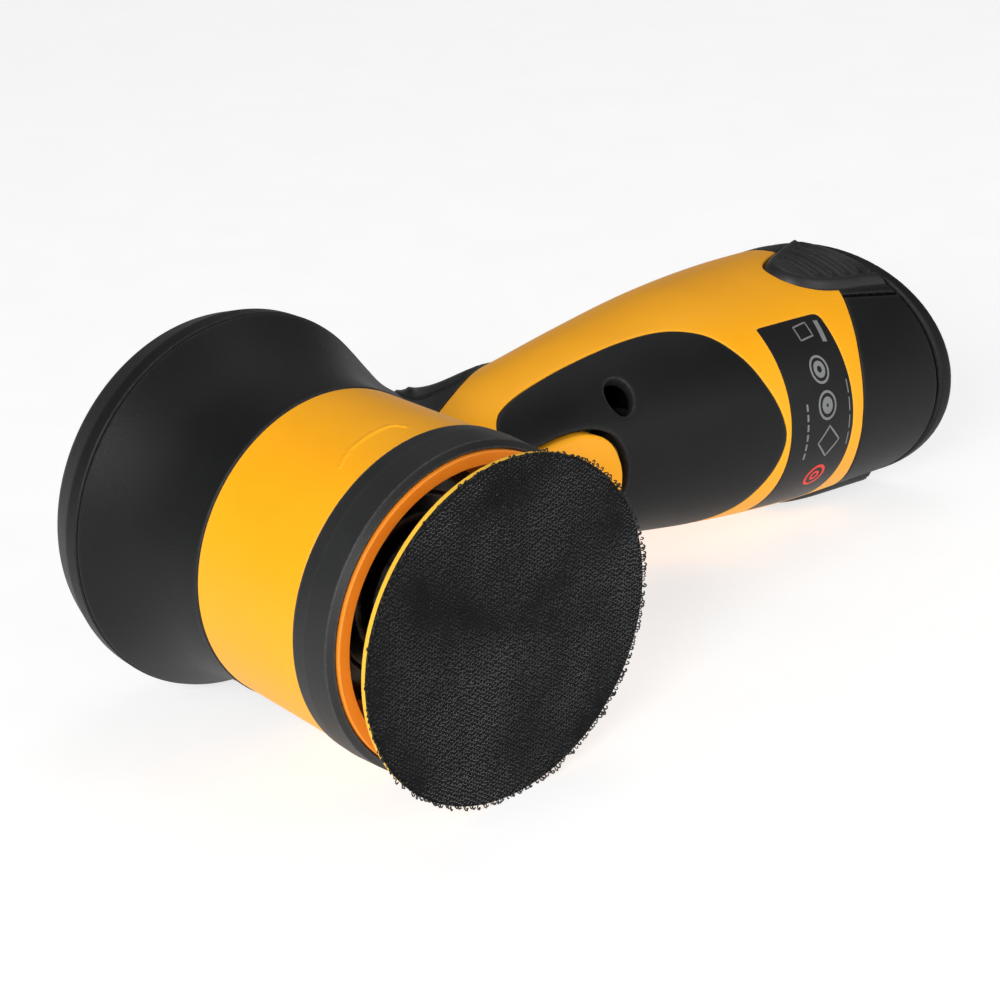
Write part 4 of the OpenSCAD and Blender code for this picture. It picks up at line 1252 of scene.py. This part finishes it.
def on_handle(x, w, lift):
    """Points on the skin at X and at a distance w round from the handle's underside."""
    a = np.radians(w / ARC)
    d = np.stack([np.zeros_like(a), -np.cos(a), np.sin(a)], 1)
    base = np.stack([x, np.full_like(x, HANDLE_Y), np.zeros_like(x)], 1)
    r = np.full(len(x), 32.0)
    for _ in range(8):
        f = skin(base + d * r[:, None])
        r = r - f * 0.95
    p = base + d * r[:, None]
    return p + normals(p) * np.reshape(lift, (-1, 1))


def mark(name, lines, finish, place=on_handle, top=0.14):
    """Strips of print, each (points, width), laid on a surface as thin raised ribbons."""
    points, faces = [], []
    count = 0
    for line, width in lines:
        line = np.asarray(line, float)
        loop = np.allclose(line[0], line[-1])
        if loop:
            line = line[:-1]
            t = np.roll(line, -1, 0) - np.roll(line, 1, 0)
        else:
            t = np.gradient(line, axis=0)
        t /= np.linalg.norm(t, axis=1, keepdims=True)
        side = np.stack([-t[:, 1], t[:, 0]], 1) * width / 2
        a, b = line + side, line - side
        sides = ((a, 0.0), (a, top), (b, top), (b, 0.0))
        layers = [place(*e.T, np.full(len(e), lift)) for e, lift in sides]
        n = len(line)
        points.append(np.concatenate(layers))
        last = n if loop else n - 1
        for k in range(4):
            i = np.arange(last)
            j = (i + 1) % n
            p, q = k * n, ((k + 1) % 4) * n
            faces.append(count + np.stack([p + i, p + j, q + j, q + i], 1))
        if not loop:
            faces.append(count + np.array([[0, n, 2 * n, 3 * n], [4 * n - 1, 3 * n - 1, 2 * n - 1, n - 1]]))
        count += 4 * n
    piece = make_object(name, np.concatenate(points), np.concatenate(faces), finish, smooth=False)
    tidy_mesh(piece)
    return piece


def ring_line(cx, cw, r, width, steps=40):
    t = np.linspace(0, 2 * math.pi, steps + 1)
    return np.stack([cx + r * np.cos(t), cw + r * np.sin(t)], 1), width


def dash(x0, w0, x1, w1, width, steps=6):
    t = np.linspace(0, 1, steps)[:, None]
    return (1 - t) * np.array([x0, w0]) + t * np.array([x1, w1]), width


def polygon_line(corners, width, steps=5):
    corners = list(corners) + [corners[0]]
    parts = []
    for a, b in zip(corners[:-1], corners[1:]):
        t = np.linspace(0, 1, steps, endpoint=False)[:, None]
        parts.append((1 - t) * np.array(a) + t * np.array(b))
    line = np.concatenate(parts)
    return np.vstack([line, line[:1]]), width


grey_marks = [
    polygon_line([(137.4, 17.6), (141.6, 17.9), (141.6, 21.1), (137.4, 20.8)], 0.35),
    dash(144.9, 20.8, 144.2, 16.0, 1.3), ring_line(138.9, 11.2, 2.6, 0.5),
    ring_line(138.9, 11.2, 1.2, 1.0), ring_line(139.0, 4.2, 2.6, 0.5), ring_line(139.0, 4.2, 1.0, 1.3),
    polygon_line([(139.6, 0.1), (143.2, -3.1), (139.8, -6.3), (136.4, -3.1)], 0.4)
]
grey_marks += [dash(132.6, w, 132.6, w - 1.4, 0.55) for w in np.arange(5.4, -6.5, -2.0)]
grey_marks += [dash(146.2, w, 146.2, w - 2.6, 0.3) for w in np.arange(8.0, -4.0, -3.4)]
marks = mark("label_marks", grey_marks, "print_grey", top=0.1)
stand_for(marks, "body", "label")
red_rings = [ring_line(139.4, -11.4, 2.6, 0.7), ring_line(139.4, -11.4, 1.0, 0.6)]
red_mark = mark("label_ring_mark", red_rings, "print_red", top=0.1)
stand_for(red_mark, "body", "label")


def on_key(x, z, lift):
    """Points on top of the keypad's skin."""
    y = np.full(len(x), 112.0)
    for _ in range(14):
        f = skin(np.stack([x, y, z], 1))
        y = y - f * 0.8
    p = np.stack([x, y, z], 1)
    return p + normals(p) * (cover_rise(x)[:, None] + 0.32 + np.asarray(lift)[:, None])


def arc_line(cx, cz, r, a0, a1, width, steps=20):
    t = np.radians(np.linspace(a0, a1, steps))
    return np.stack([cx + r * np.cos(t), cz + r * np.sin(t)], 1), width


power_x = KEYS["power_button"][0]
power_mark = mark(
    "power_mark", [arc_line(power_x, 0, 2.3, 40, 320, 0.55), dash(power_x + 0.6, 0, power_x + 2.9, 0, 0.55)],
    "print_grey", place=on_key, top=0.16,
)
stand_for(power_mark, "power_button", "soft_grip")
for name, lines in (("speed_down_button", [(0, 1)]), ("speed_up_button", [(0, 1), (1, 0)])):
    cx = KEYS[name][0]
    strokes = [dash(cx - 1.6 * a, -1.6 * b, cx + 1.6 * a, 1.6 * b, 0.6) for a, b in lines]
    stand_for(mark(name + "_mark", strokes, "print_grey", place=on_key, top=0.16), name, "soft_grip")

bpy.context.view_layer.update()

floor_data = bpy.data.meshes.new("floor")
reach = 2.5
# The plane that the cap's rim, the pad's rim and the battery rest on
FLOOR = (-0.0386, 0.0686, -0.0589)
corners = [(-reach, -reach), (reach, -reach), (reach, reach), (-reach, reach)]
floor_points = [(x, y, FLOOR[0] + FLOOR[1] * x + FLOOR[2] * y) for x, y in corners]
floor_data.from_pydata(floor_points, [], [(0, 1, 2, 3)])
floor_data.materials.append(M["floor"])
floor = bpy.data.objects.new("floor", floor_data)
bpy.context.scene.collection.objects.link(floor)
